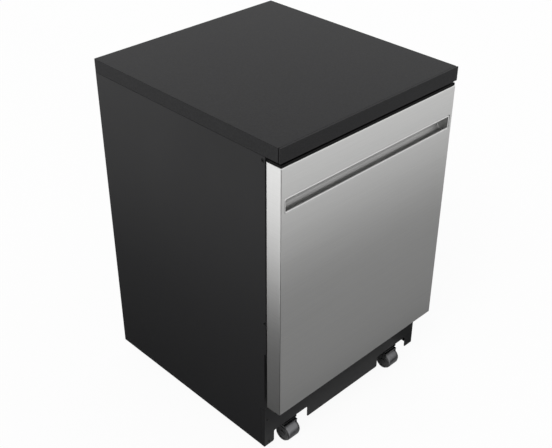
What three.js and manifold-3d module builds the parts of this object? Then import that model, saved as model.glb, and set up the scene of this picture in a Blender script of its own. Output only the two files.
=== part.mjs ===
// Portable dishwasher on casters: a black cabinet with a worktop, a steel pull-down
// door with a pocket handle, and the wash works inside.
// Millimetres, +Z up. The front faces -Y and the floor is z = 0, under the middle.
import * as THREE from 'three';
import { mergeVertices } from 'three/addons/utils/BufferGeometryUtils.js';
import Module from 'manifold-3d';

const wasm = await Module();
wasm.setup();

// ---- Driving dimensions -------------------------------------------------------------
const width = 610;
const depth = 658;
const height = 938;
const seat = 0.3; // gap left between pieces that touch
const sheet = 1.2; // folded sheet steel
const moulding = 2; // wall of a moulded plastic piece

// Worktop
const topThickness = 36.3;
const trimDepth = 6;

// Side panels and rear panel: all y sizes are measured back from the front plane
const panelInset = 46;
const panelStep = 6; // the lower front edge stands this much further back
const panelStepTop = 463;
const panelFlange = 14;

// Kick plate
const kickInset = 52.5;
const kickBottom = 35.5;
const kickTop = 165;
const kickReturn = 12;
const kickFlange = 7;
const notchHeight = 36.5;
const notchWidth = 125;
const notchCorner = 5;

// Casters
const casterInset = 97.5; // from the cabinet's side
const frontAxleInset = 63.2;
const rearAxleInset = 80;
const wheelRadius = 25;
const wheelWidth = 39;
const wheelBevel = 1;
const axleRadius = 4;
const axlePlay = 0.3;
const cheekRadius = 22.4;
const cheekThickness = 3;
const cheekGap = 0.6;
const cheekRing = 5;
const cheekDish = 1.2;
const hubRadius = 8;
const hubStand = 0.6;
const forkRoom = 3; // between the tyre and the crown
const crownThickness = 3.5;
const legWidth = 12; // in front of the axle
const trail = 16;
const collarRadius = 20;
const collarHeight = 3.5;
const kingpinRadius = 6;
const kingpinHead = 9;
const kingpinPlay = 0.4;
const swivelGap = 0.5;
const padThickness = 3;
const padHalf = 24;
const rearPlateReach = 9;

// Base frame
const baseBottom = 68;
const baseSheet = 2;
const baseInset = 66;
const baseSideHeight = 42;
const baseFrontHeight = 82;
const postInset = 115;
const postWidth = 40;
const postDepth = 30;
const postFront = 92;
const postBackRoom = 118;
const uprightWidth = 12;
const uprightTop = 230;
const kickTabWidth = 16;
const kickTabHeight = 20;
const kickTabZ = 100;

// Tub
const tubSideRoom = 43;
const tubFront = 57;
const tubBackRoom = 71;
const tubFloor = 233;
const tubTopRoom = 33.7;
const tubWall = 1.5;
const tubCorner = 30;
const flangeSide = 24;
const flangeNeck = 14;
const flangeNeckTop = 280;
const flangeBelow = 28;
const flangeAbove = 25;
const gasketWidth = 10;
const ductWidth = 30;
const ductDepth = 12;
const railHeight = 20;
const railDepth = 22;

// Wash system
const sumpRadius = 90;
const sumpFlange = 10;
const sumpBottom = 150;
const sumpNozzleZ = 185;
const nozzleRadius = 14;
const riserRadius = 12;
const riserTop = 256;
const spigotRadius = 8;
const spigotHeight = 10;
const holePlay = 0.5;
const filterX = 50;
const filterRadius = 26;
const filterLip = 5;
const filterDepth = 70;
const filterGripHeight = 9;
const filterGripWidth = 6;
const heaterRadius = 4;
const heaterZ = 246;
const heaterHalfX = 110;
const heaterHalfY = 150;
const heaterFoot = 15;
const heaterDrop = 30;
const heaterBend = 30;
const floatX = 150;
const floatY = 112;
const floatRadius = 20;
const floatHeight = 26;
const floatStemRadius = 4;
const floatStemDrop = 22;
const pumpRadius = 38;
const pumpNeck = 30;
const pumpLength = 117;
const motorRadius = 32;
const pumpFootWidth = 44;
const drainRadius = 24;
const drainLength = 62;
const drainZ = 176;
const valveWidth = 50;
const valveHeight = 34;
const valveInset = 68; // from the back
const valveSideInset = 80;

// Spray arms
const armTipRoom = 62; // to the tub's side
const armWidth = 40;
const armThickness = 13;
const armHub = 20;
const upperArmTipRoom = 67;
const feedRadius = 7.5;
const feedHub = 16;

// Door
const doorSideGap = 2.7;
const doorBottom = 182;
const doorTopGap = 12.2;
const doorDepth = 44.6;
const doorBend = 2;
const doorTopFlange = 14;
const doorBottomFlange = 15.8;
const linerSheet = 1.5;
const linerBottom = 214;
const linerRise = 18.4; // how far the raised panel stands back from the liner's rim
const linerMargin = 6; // raised panel to tub wall
const linerCorner = 24;
const pocketEndInset = 15.3;
const pocketDrop = 112.5; // below the door's top
const pocketHeight = 30;
const pocketCorner = 3;
const pocketFloorDrop = 2;
const pocketLift = 12; // finger room above the mouth
const pocketLip = 5;
const pocketWall = 1.5;
const bezelWidth = 5;
const bezelDepth = 3;

// Console on the door's top edge
const capThickness = 6.2;
const capInset = 2;
const consoleEndInset = 22.3;
const consoleDrop = 28;
const consoleInset = 16;
const buttonEndInset = 50;
const buttonWidth = 22;
const buttonDepth = 10;
const buttonPlay = 0.4;
const buttonStand = 0.8;
const buttonStem = 10;
const buttonLip = 2;
const buttonLipHeight = 3;

// Latch
const tongueHalfWidth = 8;
const tongueHeight = 4;
const tongueDrop = 3.5; // below the door's top
const latchPlate = 1.6;
const latchHalfWidth = 16;
const latchHalfHeight = 4.5;
const eyePlay = 2;

// Hinges
const pivotInset = 30;
const pivotRise = 14;
const pinRadius = 4;
const pinPlay = 0.3;
const armPlate = 3;
const armInset = 24; // from the cabinet's side to the middle of the hinge arm's plate
const armUp = 134;
const armForward = 13;
const armHalf = 8;
const armTail = 62;
const armTabWidth = 12;
const bracketPlate = 2.5;
const bracketInset = 18.7;
const bracketDrop = 44;
const bracketRise = 34;
const springRadius = 5;
const springWire = 1.6;
const springCoils = 8;
const springBack = 55; // behind the pivot
const springTabHeight = 14;

// Detergent dispenser
const dispenserHalfWidth = 82;
const dispenserBottom = 500;
const dispenserHeight = 100;
const dispenserRim = 12;
const dispenserFlange = 2.2;
const cupDepth = 24;
const cupLeft = -66;
const cupWidth = 62;
const lidThickness = 2.5;
const lidOverlap = 4;
const rinseX = 63;
const rinseRadius = 14;
const rinseHeight = 5;

// Racks
const rackGap = 40; // liner to rack front
const rackBackGap = 22; // rack to the tub's back wall
const wire = 4;
const thinWire = 3;
const lowerRackSideRoom = 22;
const lowerRackFloor = 280;
const lowerRackHeight = 175;
const upperRackSideRoom = 32;
const upperRackFloor = 592;
const upperRackHeight = 105;
const lowerTine = 88;
const upperTine = 52;
const rackWheelRadius = 15;
const rackWheelWidth = 10;
const rackWheelInset = 27;
const rackWheelFront = 190;
const rackWheelBackRoom = 65;
const rackAxle = 3;
const railWall = 1.5;
const railWidth = 15;
const rackRailHeight = 24;
const rackRailZ = 648;
const runnerPlay = 0.5;
const runnerHead = 6;
const basketWidth = 250;
const basketDepth = 84;
const basketHeight = 118;
const basketGap = 14;
const basketCells = 5;

// Rear hose bay
const bayLeft = -55;
const bayWidth = 300;
const bayTopRoom = 41.4;
const bayHeight = 200;
const bayDepth = 47;
const bayCorner = 10;
const bayRim = 12;
const couplingX = 150;
const couplingRise = 60; // above the bay's floor
const couplingWidth = 92;
const couplingHeight = 56;
const couplingPlate = 8;
const spigotLength = 22;
const fillRadius = 13;
const drainSpigotRadius = 10;
const bushingX = 0;
const bushingRise = 52;
const bushingRadius = 14;
const bushingNose = 9;
const bushingBore = 4.5;
const bushingLength = 15;

// ---- Sizes that follow ----------------------------------------------------------------
const half = width / 2;
const topBottom = height - topThickness;
const panelTop = topBottom - seat;
const innerSide = half - sheet;
const doorTop = topBottom - doorTopGap;
const doorWidth = width - 2 * doorSideGap;
const pivotZ = doorBottom + pivotRise;
const linerBack = doorDepth;
const linerFace = doorDepth + linerRise;
const tubHalf = half - tubSideRoom;
const tubBack = depth - tubBackRoom;
const tubCeiling = topBottom - tubTopRoom;
const tubUnder = tubFloor - tubWall;
const rackFront = linerFace + rackGap;
const rackBack = tubBack - rackBackGap;
const capBottom = doorTop + seat;
const capTop = capBottom + capThickness;
const tongueZ = doorTop - tongueDrop;
const pocketHalfWidth = doorWidth / 2 - pocketEndInset;
const pocketBottom = doorTop - pocketDrop;
const consoleHalfWidth = doorWidth / 2 - consoleEndInset;
const armX = half - armInset;
const bracketX = half - bracketInset;
const casterX = half - casterInset;
const postX = half - postInset;
const postRear = depth - postBackRoom;
const valveX = half - valveSideInset;
const sumpY = depth / 2;
const armReach = tubHalf - armTipRoom;
const upperArmReach = tubHalf - upperArmTipRoom;
const lowerRackHalf = tubHalf - lowerRackSideRoom;
const upperRackHalf = tubHalf - upperRackSideRoom;
const rackWheelX = lowerRackHalf - rackWheelInset;
const rackWheelRear = rackBack - rackWheelBackRoom;
const bayBottom = panelTop - bayTopRoom - bayHeight;
const couplingZ = bayBottom + couplingRise;
const bushingZ = bayBottom + bushingRise;

// ---- Solids -----------------------------------------------------------------------------

// A closed geometry as a solid that can be joined and cut.
function solid(geometry) {
  const bare = geometry.clone();
  bare.deleteAttribute('normal');
  bare.deleteAttribute('uv');
  const merged = mergeVertices(bare, 1e-4);
  return new wasm.Manifold(new wasm.Mesh({
    numProp: 3,
    vertProperties: merged.attributes.position.array,
    triVerts: new Uint32Array(merged.index.array),
  }));
}

// The same solid as a geometry again.
function geometryOf(body) {
  const { vertProperties, triVerts } = body.getMesh();
  const geometry = new THREE.BufferGeometry();
  geometry.setAttribute('position', new THREE.BufferAttribute(vertProperties, 3));
  geometry.setIndex(new THREE.BufferAttribute(triVerts, 1));
  geometry.computeVertexNormals();
  return geometry;
}

// A box between two limits on each axis.
function block([x0, x1], [y0, y1], [z0, z1]) {
  const box = new THREE.BoxGeometry(x1 - x0, y1 - y0, z1 - z0);
  return solid(box.translate((x0 + x1) / 2, (y0 + y1) / 2, (z0 + z1) / 2));
}

// A box that is as wide to the left as to the right.
function wide(halfWidth, ySpan, zSpan) {
  return block([-halfWidth, halfWidth], ySpan, zSpan);
}

// The mirror image of a solid across the middle plane.
function mirrored(body) {
  const { vertProperties, triVerts } = body.getMesh();
  const points = vertProperties.map((value, i) => (i % 3 === 0 ? -value : value));
  const faces = triVerts.map((_, i) => triVerts[i + 2 - 2 * (i % 3)]);
  return new wasm.Manifold(new wasm.Mesh({
    numProp: 3,
    vertProperties: points,
    triVerts: faces,
  }));
}

function join(...bodies) {
  return bodies.flat().reduce((whole, body) => whole.add(body));
}

function cut(body, ...tools) {
  return tools.flat().reduce((left, tool) => left.subtract(tool), body);
}

// A rounded rectangle as a shape.
function roundedRect([x0, x1], [y0, y1], radius) {
  const shape = new THREE.Shape();
  shape.absarc(x1 - radius, y1 - radius, radius, 0, Math.PI / 2);
  shape.absarc(x0 + radius, y1 - radius, radius, Math.PI / 2, Math.PI);
  shape.absarc(x0 + radius, y0 + radius, radius, Math.PI, 1.5 * Math.PI);
  shape.absarc(x1 - radius, y0 + radius, radius, 1.5 * Math.PI, 2 * Math.PI);
  return shape;
}

function outline(points) {
  return new THREE.Shape(points.map(([u, v]) => new THREE.Vector2(u, v)));
}

// A shape drawn in the XY plane and raised from one z to another.
function raise(shape, [z0, z1], curveSegments = 4) {
  const made = new THREE.ExtrudeGeometry(shape, {
    depth: z1 - z0,
    bevelEnabled: false,
    curveSegments,
  });
  return solid(made.translate(0, 0, z0));
}

// A shape drawn in the XZ plane and run from one y to another.
function runBack(shape, [y0, y1], curveSegments = 4) {
  const made = new THREE.ExtrudeGeometry(shape, {
    depth: y1 - y0,
    bevelEnabled: false,
    curveSegments,
  });
  return solid(made.rotateX(Math.PI / 2).translate(0, y1, 0));
}

// A shape drawn in the YZ plane and run from one x to another.
function runAcross(shape, [x0, x1], curveSegments = 4) {
  const made = new THREE.ExtrudeGeometry(shape, {
    depth: x1 - x0,
    bevelEnabled: false,
    curveSegments,
  });
  return solid(made.rotateX(Math.PI / 2).rotateZ(Math.PI / 2).translate(x0, 0, 0));
}

// A profile of [radius, height] points turned about the axis named, through a centre.
function turned(profile, axis, [x, y, z], segments = 24) {
  const points = profile.map(([radius, along]) => new THREE.Vector2(radius, along));
  const made = new THREE.LatheGeometry(points, segments);
  if (axis === 'z') made.rotateX(Math.PI / 2);
  if (axis === 'x') made.rotateZ(-Math.PI / 2);
  return solid(made.translate(x, y, z));
}

// A round bar along an axis, from one place to another on it.
function bar(radius, axis, [from, to], centre, segments = 16) {
  return turned([[0, from], [radius, from], [radius, to], [0, to]], axis, centre, segments);
}

// A span made longer at both ends.
function grown([low, high], by) {
  return [low - by, high + by];
}

// A straight wire of square section between two points on a line along one axis.
function wireRod(from, to, size) {
  return block(...from.map((start, i) => grown([start, to[i]].sort((a, b) => a - b), size / 2)));
}

// Evenly spaced values from first to last.
function spaced(first, last, count) {
  return Array.from({ length: count }, (_, i) => first + ((last - first) * i) / (count - 1));
}

// ---- Finishes and placing ------------------------------------------------------------------
const finishes = {
  blackPaint: { color: 0x2b2b2b, roughness: 0.5, metalness: 0.0 },
  laminate: { color: 0x3d3d3d, roughness: 0.55, metalness: 0.0 },
  brushedSteel: { color: 0xb9bbbd, roughness: 0.35, metalness: 1.0 },
  tubSteel: { color: 0xc9cbcd, roughness: 0.28, metalness: 1.0 },
  bareSteel: { color: 0x9ea1a4, roughness: 0.4, metalness: 1.0 },
  blackPlastic: { color: 0x1d1d1e, roughness: 0.45, metalness: 0.0 },
  greyPlastic: { color: 0x8d9196, roughness: 0.5, metalness: 0.0 },
  whitePlastic: { color: 0xe4e4e1, roughness: 0.5, metalness: 0.0 },
  rackVinyl: { color: 0xa9adb2, roughness: 0.45, metalness: 0.0 },
  tyre: { color: 0x4a4a4c, roughness: 0.4, metalness: 0.0 },
  rubber: { color: 0x1a1a1a, roughness: 0.8, metalness: 0.0 },
};

const dishwasher = new THREE.Group();
dishwasher.name = 'dishwasher';

// Everything below hangs on this group, whose y = 0 is the front plane.
const cabinet = new THREE.Group();
cabinet.position.y = -depth / 2;
dishwasher.add(cabinet);

const door = new THREE.Group();
const lowerRack = new THREE.Group();
const upperRack = new THREE.Group();
cabinet.add(door, lowerRack, upperRack);

function place(name, body, finish, parent = cabinet, position = [0, 0, 0]) {
  const material = new THREE.MeshStandardMaterial({ ...finishes[finish], flatShading: true });
  const mesh = new THREE.Mesh(geometryOf(body), material);
  mesh.name = name;
  mesh.position.set(...position);
  parent.add(mesh);
  return mesh;
}

// The piece drawn is the right-hand one, and the left-hand one is its mirror image.
function placePair(name, body, finish, parent = cabinet) {
  place(`${name}_right`, body, finish, parent);
  place(`${name}_left`, body, finish, parent).scale.x = -1;
}

// ---- Worktop -----------------------------------------------------------------------------
const worktop = wide(half, [trimDepth, depth], [topBottom, height]);
place('countertop', worktop, 'laminate');
const frontTrim = wide(half, [0, trimDepth - seat], [topBottom, height]);
place('countertop_front_trim', frontTrim, 'laminate');

// ---- Side panels ---------------------------------------------------------------------------
const stepInset = panelInset + panelStep;
const panelFoot = kickInset + kickReturn + 0.5;
const rearFlangeBack = depth - sheet - seat;
function makeSidePanel() {
  const lipZ = kickTop + 1;
  const folded = runAcross(outline([
    [panelInset, panelTop],
    [panelInset, panelStepTop],
    [stepInset, panelStepTop],
    [stepInset, lipZ],
    [panelFoot, lipZ],
    [panelFoot, kickBottom],
    [depth, kickBottom],
    [depth, panelTop],
  ]), [innerSide - panelFlange, half]);
  const hollow = runAcross(outline([
    [panelInset + sheet, panelTop - sheet],
    [panelInset + sheet, panelStepTop + sheet],
    [stepInset + sheet, panelStepTop + sheet],
    [stepInset + sheet, lipZ + sheet],
    [panelFoot - 1, lipZ + sheet],
    [panelFoot - 1, kickBottom + sheet],
    [rearFlangeBack - sheet, kickBottom + sheet],
    [rearFlangeBack - sheet, panelTop - sheet],
  ]), [innerSide - 2 * panelFlange, innerSide]);
  const rearRebate = block([innerSide - 2 * panelFlange, innerSide],
    [rearFlangeBack, depth + 1], [kickBottom - 1, panelTop + 1]);
  return cut(folded, hollow, rearRebate);
}
placePair('side_panel', makeSidePanel(), 'blackPaint');

// ---- Rear panel and its hose bay ---------------------------------------------------------
const bayX = [bayLeft, bayLeft + bayWidth];
const bayZ = [bayBottom, bayBottom + bayHeight];
const rearPanel = cut(
  wide(innerSide - seat, [depth - sheet, depth], [kickBottom, panelTop]),
  runBack(roundedRect(bayX, bayZ, bayCorner), [depth - 10, depth + 10]),
);
place('rear_panel', rearPanel, 'blackPaint');

const bayFront = depth - bayDepth;
const bayMouth = depth - sheet - seat;
const hoseBay = cut(
  join(
    runBack(roundedRect(grown(bayX, moulding), grown(bayZ, moulding), bayCorner + moulding),
      [bayFront - moulding, bayMouth]),
    runBack(roundedRect(grown(bayX, bayRim), grown(bayZ, bayRim), bayCorner + bayRim),
      [bayMouth - moulding, bayMouth]),
  ),
  runBack(roundedRect(bayX, bayZ, bayCorner), [bayFront, depth]),
  bar(bushingBore, 'y', [bayFront - 2 * moulding, bayFront + 1], [bushingX, 0, bushingZ]),
);
place('hose_bay', hoseBay, 'blackPlastic');

const bayWall = bayFront + seat;
const couplingHalf = couplingWidth / 2;
const couplingTip = bayWall + couplingPlate + spigotLength;
const coupling = join(
  runBack(roundedRect([couplingX - couplingHalf, couplingX + couplingHalf],
    [couplingZ - couplingHeight / 2, couplingZ + couplingHeight / 2], 8),
    [bayWall, bayWall + couplingPlate]),
  bar(fillRadius, 'y', [bayWall + 1, couplingTip], [couplingX - couplingWidth / 4, 0, couplingZ]),
  bar(drainSpigotRadius, 'y', [bayWall + 1, couplingTip],
    [couplingX + couplingWidth / 4, 0, couplingZ]),
);
place('hose_coupling', coupling, 'greyPlastic');

const bushing = turned([
  [bushingBore, 0],
  [bushingRadius, 0],
  [bushingRadius, 4],
  [bushingNose, 6],
  [bushingNose, bushingLength],
  [bushingBore, bushingLength],
  [bushingBore, 0],
], 'y', [bushingX, bayWall, bushingZ], 16);
place('cord_bushing', bushing, 'rubber');

// ---- Kick plate ------------------------------------------------------------------------------
const kickBack = kickInset + sheet;
const notchTop = kickBottom + notchHeight;
function makeKickPlate() {
  const folded = cut(
    wide(half, [kickInset, kickInset + kickReturn], [kickBottom, kickTop]),
    wide(innerSide, [kickBack, kickInset + 2 * kickReturn], [kickBottom - 1, kickTop - sheet]),
    wide(innerSide, [kickInset + kickFlange, kickInset + 2 * kickReturn],
      [kickTop - 2 * sheet, kickTop + 1]),
  );
  const notches = [-casterX, casterX].map((x) => runBack(
    roundedRect([x - notchWidth / 2, x + notchWidth / 2],
      [kickBottom - 4 * notchCorner, notchTop], notchCorner),
    [kickInset - 1, kickBack + 1],
  ));
  return cut(folded, notches);
}
place('kick_plate', makeKickPlate(), 'blackPaint');

// ---- Base frame: pan, rims, posts for the tub, and the caster mounts ---------------------
const baseHalf = innerSide - 0.5;
const baseBack = rearFlangeBack - sheet - seat;
const panTop = baseBottom + baseSheet;
const swivelY = frontAxleInset + trail;
const crownBottom = 2 * wheelRadius + forkRoom;
const crownTop = crownBottom + crownThickness;
const padBottom = crownTop + collarHeight + swivelGap;
const uprightInner = bracketX + bracketPlate + 1;
function makeBaseFrame() {
  const pan = wide(baseHalf, [baseInset, baseBack], [baseBottom, panTop]);
  const rims = [
    wide(baseHalf, [baseInset, baseInset + baseSheet], [baseBottom, baseBottom + baseFrontHeight]),
    wide(baseHalf, [baseBack - baseSheet, baseBack], [baseBottom, baseBottom + baseSideHeight]),
  ];
  const right = [];
  right.push(block([baseHalf - baseSheet, baseHalf], [baseInset, baseBack],
    [baseBottom, baseBottom + baseSideHeight]));
  for (const y of [postFront, postRear]) {
    const top = tubUnder - seat;
    const x = [postX, postX + postWidth];
    right.push(block(x, [y, y + baseSheet], [baseBottom, top]));
    right.push(block([postX, postX + baseSheet], [y, y + postDepth], [baseBottom, top]));
    right.push(block(x, [y, y + postDepth], [top - baseSheet, top]));
  }
  right.push(block([uprightInner, uprightInner + uprightWidth],
    [baseInset + baseSheet, baseInset + baseSheet + uprightWidth], [baseBottom, uprightTop]));
  right.push(block([baseHalf - 4 - kickTabWidth, baseHalf - 4], [kickBack + seat, baseInset + 1],
    [kickTabZ, kickTabZ + kickTabHeight]));
  right.push(block([armX - springRadius, armX + springRadius],
    [pivotInset + springBack - 1, pivotInset + springBack + 1],
    [baseBottom, panTop + springTabHeight]));
  // A hanging cradle for each swivel caster, with the hole for its kingpin.
  const padX = [casterX - padHalf, casterX + padHalf];
  const padY = [swivelY - padHalf, swivelY + padHalf];
  const cradle = join(
    block(padX, padY, [padBottom, padBottom + padThickness]),
    block([padX[0], padX[0] + baseSheet], padY, [padBottom, baseBottom + 1]),
    block([padX[1] - baseSheet, padX[1]], padY, [padBottom, baseBottom + 1]),
  );
  right.push(cut(cradle, bar(kingpinRadius + kingpinPlay, 'z',
    [padBottom - 1, padBottom + padThickness + 1], [casterX, swivelY, 0], 20)));
  const rightHalf = join(right);
  return join(pan, rims, rightHalf, mirrored(rightHalf));
}
place('base_frame', makeBaseFrame(), 'blackPaint');

// ---- Casters -------------------------------------------------------------------------------
const cheekInner = wheelWidth / 2 + cheekGap;
const cheekOuter = cheekInner + cheekThickness;

function makeWheel() {
  const side = wheelWidth / 2;
  const bore = axleRadius + axlePlay;
  return turned([
    [bore, -side],
    [wheelRadius - wheelBevel, -side],
    [wheelRadius, wheelBevel - side],
    [wheelRadius, side - wheelBevel],
    [wheelRadius - wheelBevel, side],
    [bore, side],
    [bore, -side],
  ], 'x', [0, 0, 0], 28);
}

// Two round cheeks on their axle, with a leg each up to the crown, in the wheel's frame.
function makeForkLegs(crownUnder) {
  const dish = cheekOuter - cheekDish;
  const cheek = turned([
    [0, cheekInner],
    [cheekRadius, cheekInner],
    [cheekRadius, cheekOuter],
    [cheekRadius - cheekRing, cheekOuter],
    [cheekRadius - cheekRing, dish],
    [hubRadius, dish],
    [hubRadius, cheekOuter + hubStand],
    [0, cheekOuter + hubStand],
  ], 'x', [0, 0, 0], 16);
  const leg = block([cheekInner, dish], [-legWidth, cheekRadius - 1],
    [0, crownUnder - wheelRadius + 1]);
  const right = join(cheek, leg);
  const axle = bar(axleRadius, 'x', [-cheekInner - 1, cheekInner + 1], [0, 0, 0], 12);
  return join(right, mirrored(right), axle);
}

function makeSwivelFork() {
  const up = (z) => z - wheelRadius;
  const crown = block([-cheekOuter, cheekOuter], [-legWidth, trail + collarRadius - 4],
    [up(crownBottom), up(crownTop)]);
  const collarTop = crownTop + collarHeight;
  const headUnder = padBottom + padThickness + swivelGap;
  const kingpin = turned([
    [0, up(crownTop) - 1],
    [collarRadius, up(crownTop) - 1],
    [collarRadius, up(collarTop)],
    [kingpinRadius, up(collarTop)],
    [kingpinRadius, up(headUnder)],
    [kingpinHead, up(headUnder)],
    [kingpinHead, up(baseBottom - swivelGap)],
    [0, up(baseBottom - swivelGap)],
  ], 'z', [0, trail, 0], 16);
  return join(makeForkLegs(crownBottom), crown, kingpin);
}

function makeRigidFork() {
  const top = baseBottom - seat - wheelRadius;
  const reach = cheekOuter + rearPlateReach;
  const crown = block([-reach, reach], [-collarRadius, collarRadius],
    [top - crownThickness, top]);
  return join(makeForkLegs(baseBottom - seat - crownThickness), crown);
}

const sides = { left: -1, right: 1 };
for (const [side, sign] of Object.entries(sides)) {
  const front = new THREE.Group();
  front.position.set(sign * casterX, frontAxleInset, wheelRadius);
  place(`caster_fork_front_${side}`, makeSwivelFork(), 'blackPlastic', front);
  place(`caster_wheel_front_${side}`, makeWheel(), 'tyre', front);
  const rear = new THREE.Group();
  rear.position.set(sign * casterX, depth - rearAxleInset, wheelRadius);
  place(`caster_fork_rear_${side}`, makeRigidFork(), 'blackPlastic', rear);
  place(`caster_wheel_rear_${side}`, makeWheel(), 'tyre', rear);
  cabinet.add(front, rear);
}

// ---- Tub, its front flange and the cross rail above it -----------------------------------
const flangeTop = tubCeiling + flangeAbove;
const flangeBack = tubFront + tubWall;
function makeTub() {
  const inside = roundedRect([-tubHalf, tubHalf], [tubFloor, tubCeiling], tubCorner);
  const skin = roundedRect([-tubHalf - tubWall, tubHalf + tubWall],
    [tubUnder, tubCeiling + tubWall], tubCorner + tubWall);
  const neck = tubHalf + flangeNeck;
  const flange = join(
    runBack(outline([
      [-neck, tubUnder - flangeBelow],
      [neck, tubUnder - flangeBelow],
      [neck, flangeTop],
      [-neck, flangeTop],
    ]), [tubFront, flangeBack]),
    wide(tubHalf + flangeSide, [tubFront, flangeBack], [flangeNeckTop, flangeTop]),
  );
  const shell = join(flange, runBack(skin, [tubFront, tubBack + tubWall]));
  const hollow = runBack(inside, [tubFront - 1, tubBack]);
  const duct = wide(ductWidth / 2, [tubBack - ductDepth, tubBack + 0.5],
    [tubFloor - 0.5, upperRackFloor]);
  const span = [tubUnder - 1, tubFloor + 1];
  return join(
    cut(
      shell,
      hollow,
      bar(filterRadius + holePlay, 'z', span, [filterX, sumpY, 0], 20),
      bar(riserRadius + holePlay, 'z', span, [0, sumpY, 0]),
      bar(floatStemRadius + holePlay, 'z', span, [floatX, floatY, 0], 12),
      [-heaterFoot, heaterFoot].map((x) => bar(heaterRadius + holePlay, 'z', span,
        [x, sumpY + heaterHalfY, 0], 12)),
    ),
    duct,
  );
}
place('tub', makeTub(), 'tubSteel');

const railTop = panelTop - sheet - seat;
const railFront = flangeBack + seat;
const frontRail = cut(
  wide(innerSide - seat, [railFront, railFront + railDepth], [railTop - railHeight, railTop]),
  wide(half, [railFront + sheet, railFront + railDepth + 1],
    [railTop - railHeight - 1, railTop - sheet]),
);
place('front_rail', frontRail, 'blackPaint');

const gasketRing = cut(
  runBack(roundedRect([-tubHalf - gasketWidth, tubHalf + gasketWidth],
    [tubFloor - gasketWidth, tubCeiling + gasketWidth], tubCorner + gasketWidth),
    [linerBack + seat, tubFront - seat]),
  runBack(roundedRect([-tubHalf, tubHalf], [tubFloor, tubCeiling], tubCorner), [0, tubBack]),
);
place('tub_gasket', gasketRing, 'rubber');

// ---- Sump, filter, heater and float --------------------------------------------------------
const sumpTop = tubUnder - seat;
const sumpInner = sumpRadius - moulding;
const nozzleEnd = sumpRadius + 6;
function makeSump() {
  const bowl = turned([
    [0, sumpBottom],
    [sumpRadius, sumpBottom],
    [sumpRadius, sumpTop - moulding],
    [sumpRadius + sumpFlange, sumpTop - moulding],
    [sumpRadius + sumpFlange, sumpTop],
    [sumpInner, sumpTop],
    [sumpInner, sumpBottom + moulding],
    [riserRadius, sumpBottom + moulding],
    [riserRadius, riserTop],
    [spigotRadius, riserTop],
    [spigotRadius, riserTop + spigotHeight],
    [0, riserTop + spigotHeight],
  ], 'z', [0, sumpY, 0], 24);
  const overlap = sumpRadius - 1;
  return join(
    bowl,
    bar(nozzleRadius, 'x', [-nozzleEnd, -overlap], [0, sumpY, sumpNozzleZ]),
    bar(nozzleRadius, 'y', [overlap, nozzleEnd], [0, sumpY, drainZ]),
  );
}
place('sump', makeSump(), 'greyPlastic');

const filterSeat = tubFloor + seat;
const filterLid = filterSeat + moulding;
const filterCup = turned([
  [0, filterSeat - filterDepth],
  [filterRadius, filterSeat - filterDepth],
  [filterRadius, filterSeat],
  [filterRadius + filterLip, filterSeat],
  [filterRadius + filterLip, filterLid],
  [filterRadius - moulding, filterLid],
  [filterRadius - moulding, filterSeat - filterDepth + moulding],
  [0, filterSeat - filterDepth + moulding],
], 'z', [filterX, sumpY, 0], 20);
const filterGrip = block([filterX - filterRadius, filterX + filterRadius],
  [sumpY - filterGripWidth / 2, sumpY + filterGripWidth / 2],
  [filterLid - moulding / 2, filterLid + filterGripHeight]);
place('fine_filter', join(filterCup, filterGrip), 'greyPlastic');

// The element comes up through the floor, runs round the spray arm's hub and goes down again.
function makeHeater() {
  const backY = sumpY + heaterHalfY;
  const frontY = sumpY - heaterHalfY;
  const side = [
    [heaterFoot - heaterRadius / 2, backY],
    [heaterHalfX - heaterBend, backY],
    [heaterHalfX, backY - heaterBend],
    [heaterHalfX, sumpY],
    [heaterHalfX, frontY + heaterBend],
    [heaterHalfX - heaterBend, frontY],
  ];
  const route = [
    ...side.map(([x, y]) => new THREE.Vector3(x, y, heaterZ)),
    new THREE.Vector3(0, frontY, heaterZ),
    ...side.reverse().map(([x, y]) => new THREE.Vector3(-x, y, heaterZ)),
  ];
  const ring = new THREE.Shape();
  ring.absarc(0, 0, heaterRadius, 0, 2 * Math.PI);
  const loop = solid(new THREE.ExtrudeGeometry(ring, {
    steps: 36,
    curveSegments: 4,
    extrudePath: new THREE.CatmullRomCurve3(route, false, 'centripetal'),
  }));
  const legs = [-heaterFoot, heaterFoot].map((x) => bar(heaterRadius, 'z',
    [heaterZ - heaterDrop, heaterZ + heaterRadius / 2], [x, backY, 0], 8));
  return join(loop, legs);
}
place('heater_element', makeHeater(), 'bareSteel');

const floatTop = floatHeight;
const floatDome = turned([
  [0, -floatStemDrop],
  [floatStemRadius, -floatStemDrop],
  [floatStemRadius, floatTop - moulding - 2],
  [floatRadius - moulding, floatTop - moulding - 6],
  [floatRadius - moulding, 0],
  [floatRadius, 0],
  [floatRadius, floatTop - 6],
  [floatRadius - 6, floatTop],
  [0, floatTop],
], 'z', [0, 0, 0], 20);
place('float_dome', floatDome, 'greyPlastic', cabinet, [floatX, floatY, tubFloor + seat]);

// ---- Pumps and the inlet valve -------------------------------------------------------------
function makeWashPump() {
  const start = nozzleEnd + seat;
  const body = turned([
    [0, start],
    [pumpRadius - 4, start],
    [pumpRadius, start + 4],
    [pumpRadius, start + pumpNeck],
    [motorRadius, start + pumpNeck],
    [motorRadius, start + pumpLength - 5],
    [motorRadius - 5, start + pumpLength],
    [0, start + pumpLength],
  ], 'x', [0, 0, 0], 24);
  const foot = block([start + pumpNeck + 8, start + pumpNeck + 60],
    [-pumpFootWidth / 2, pumpFootWidth / 2],
    [panTop + seat - sumpNozzleZ, -motorRadius / 2]);
  return mirrored(join(body, foot));
}
place('wash_pump', makeWashPump(), 'blackPlastic', cabinet, [0, sumpY, sumpNozzleZ]);

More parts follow.
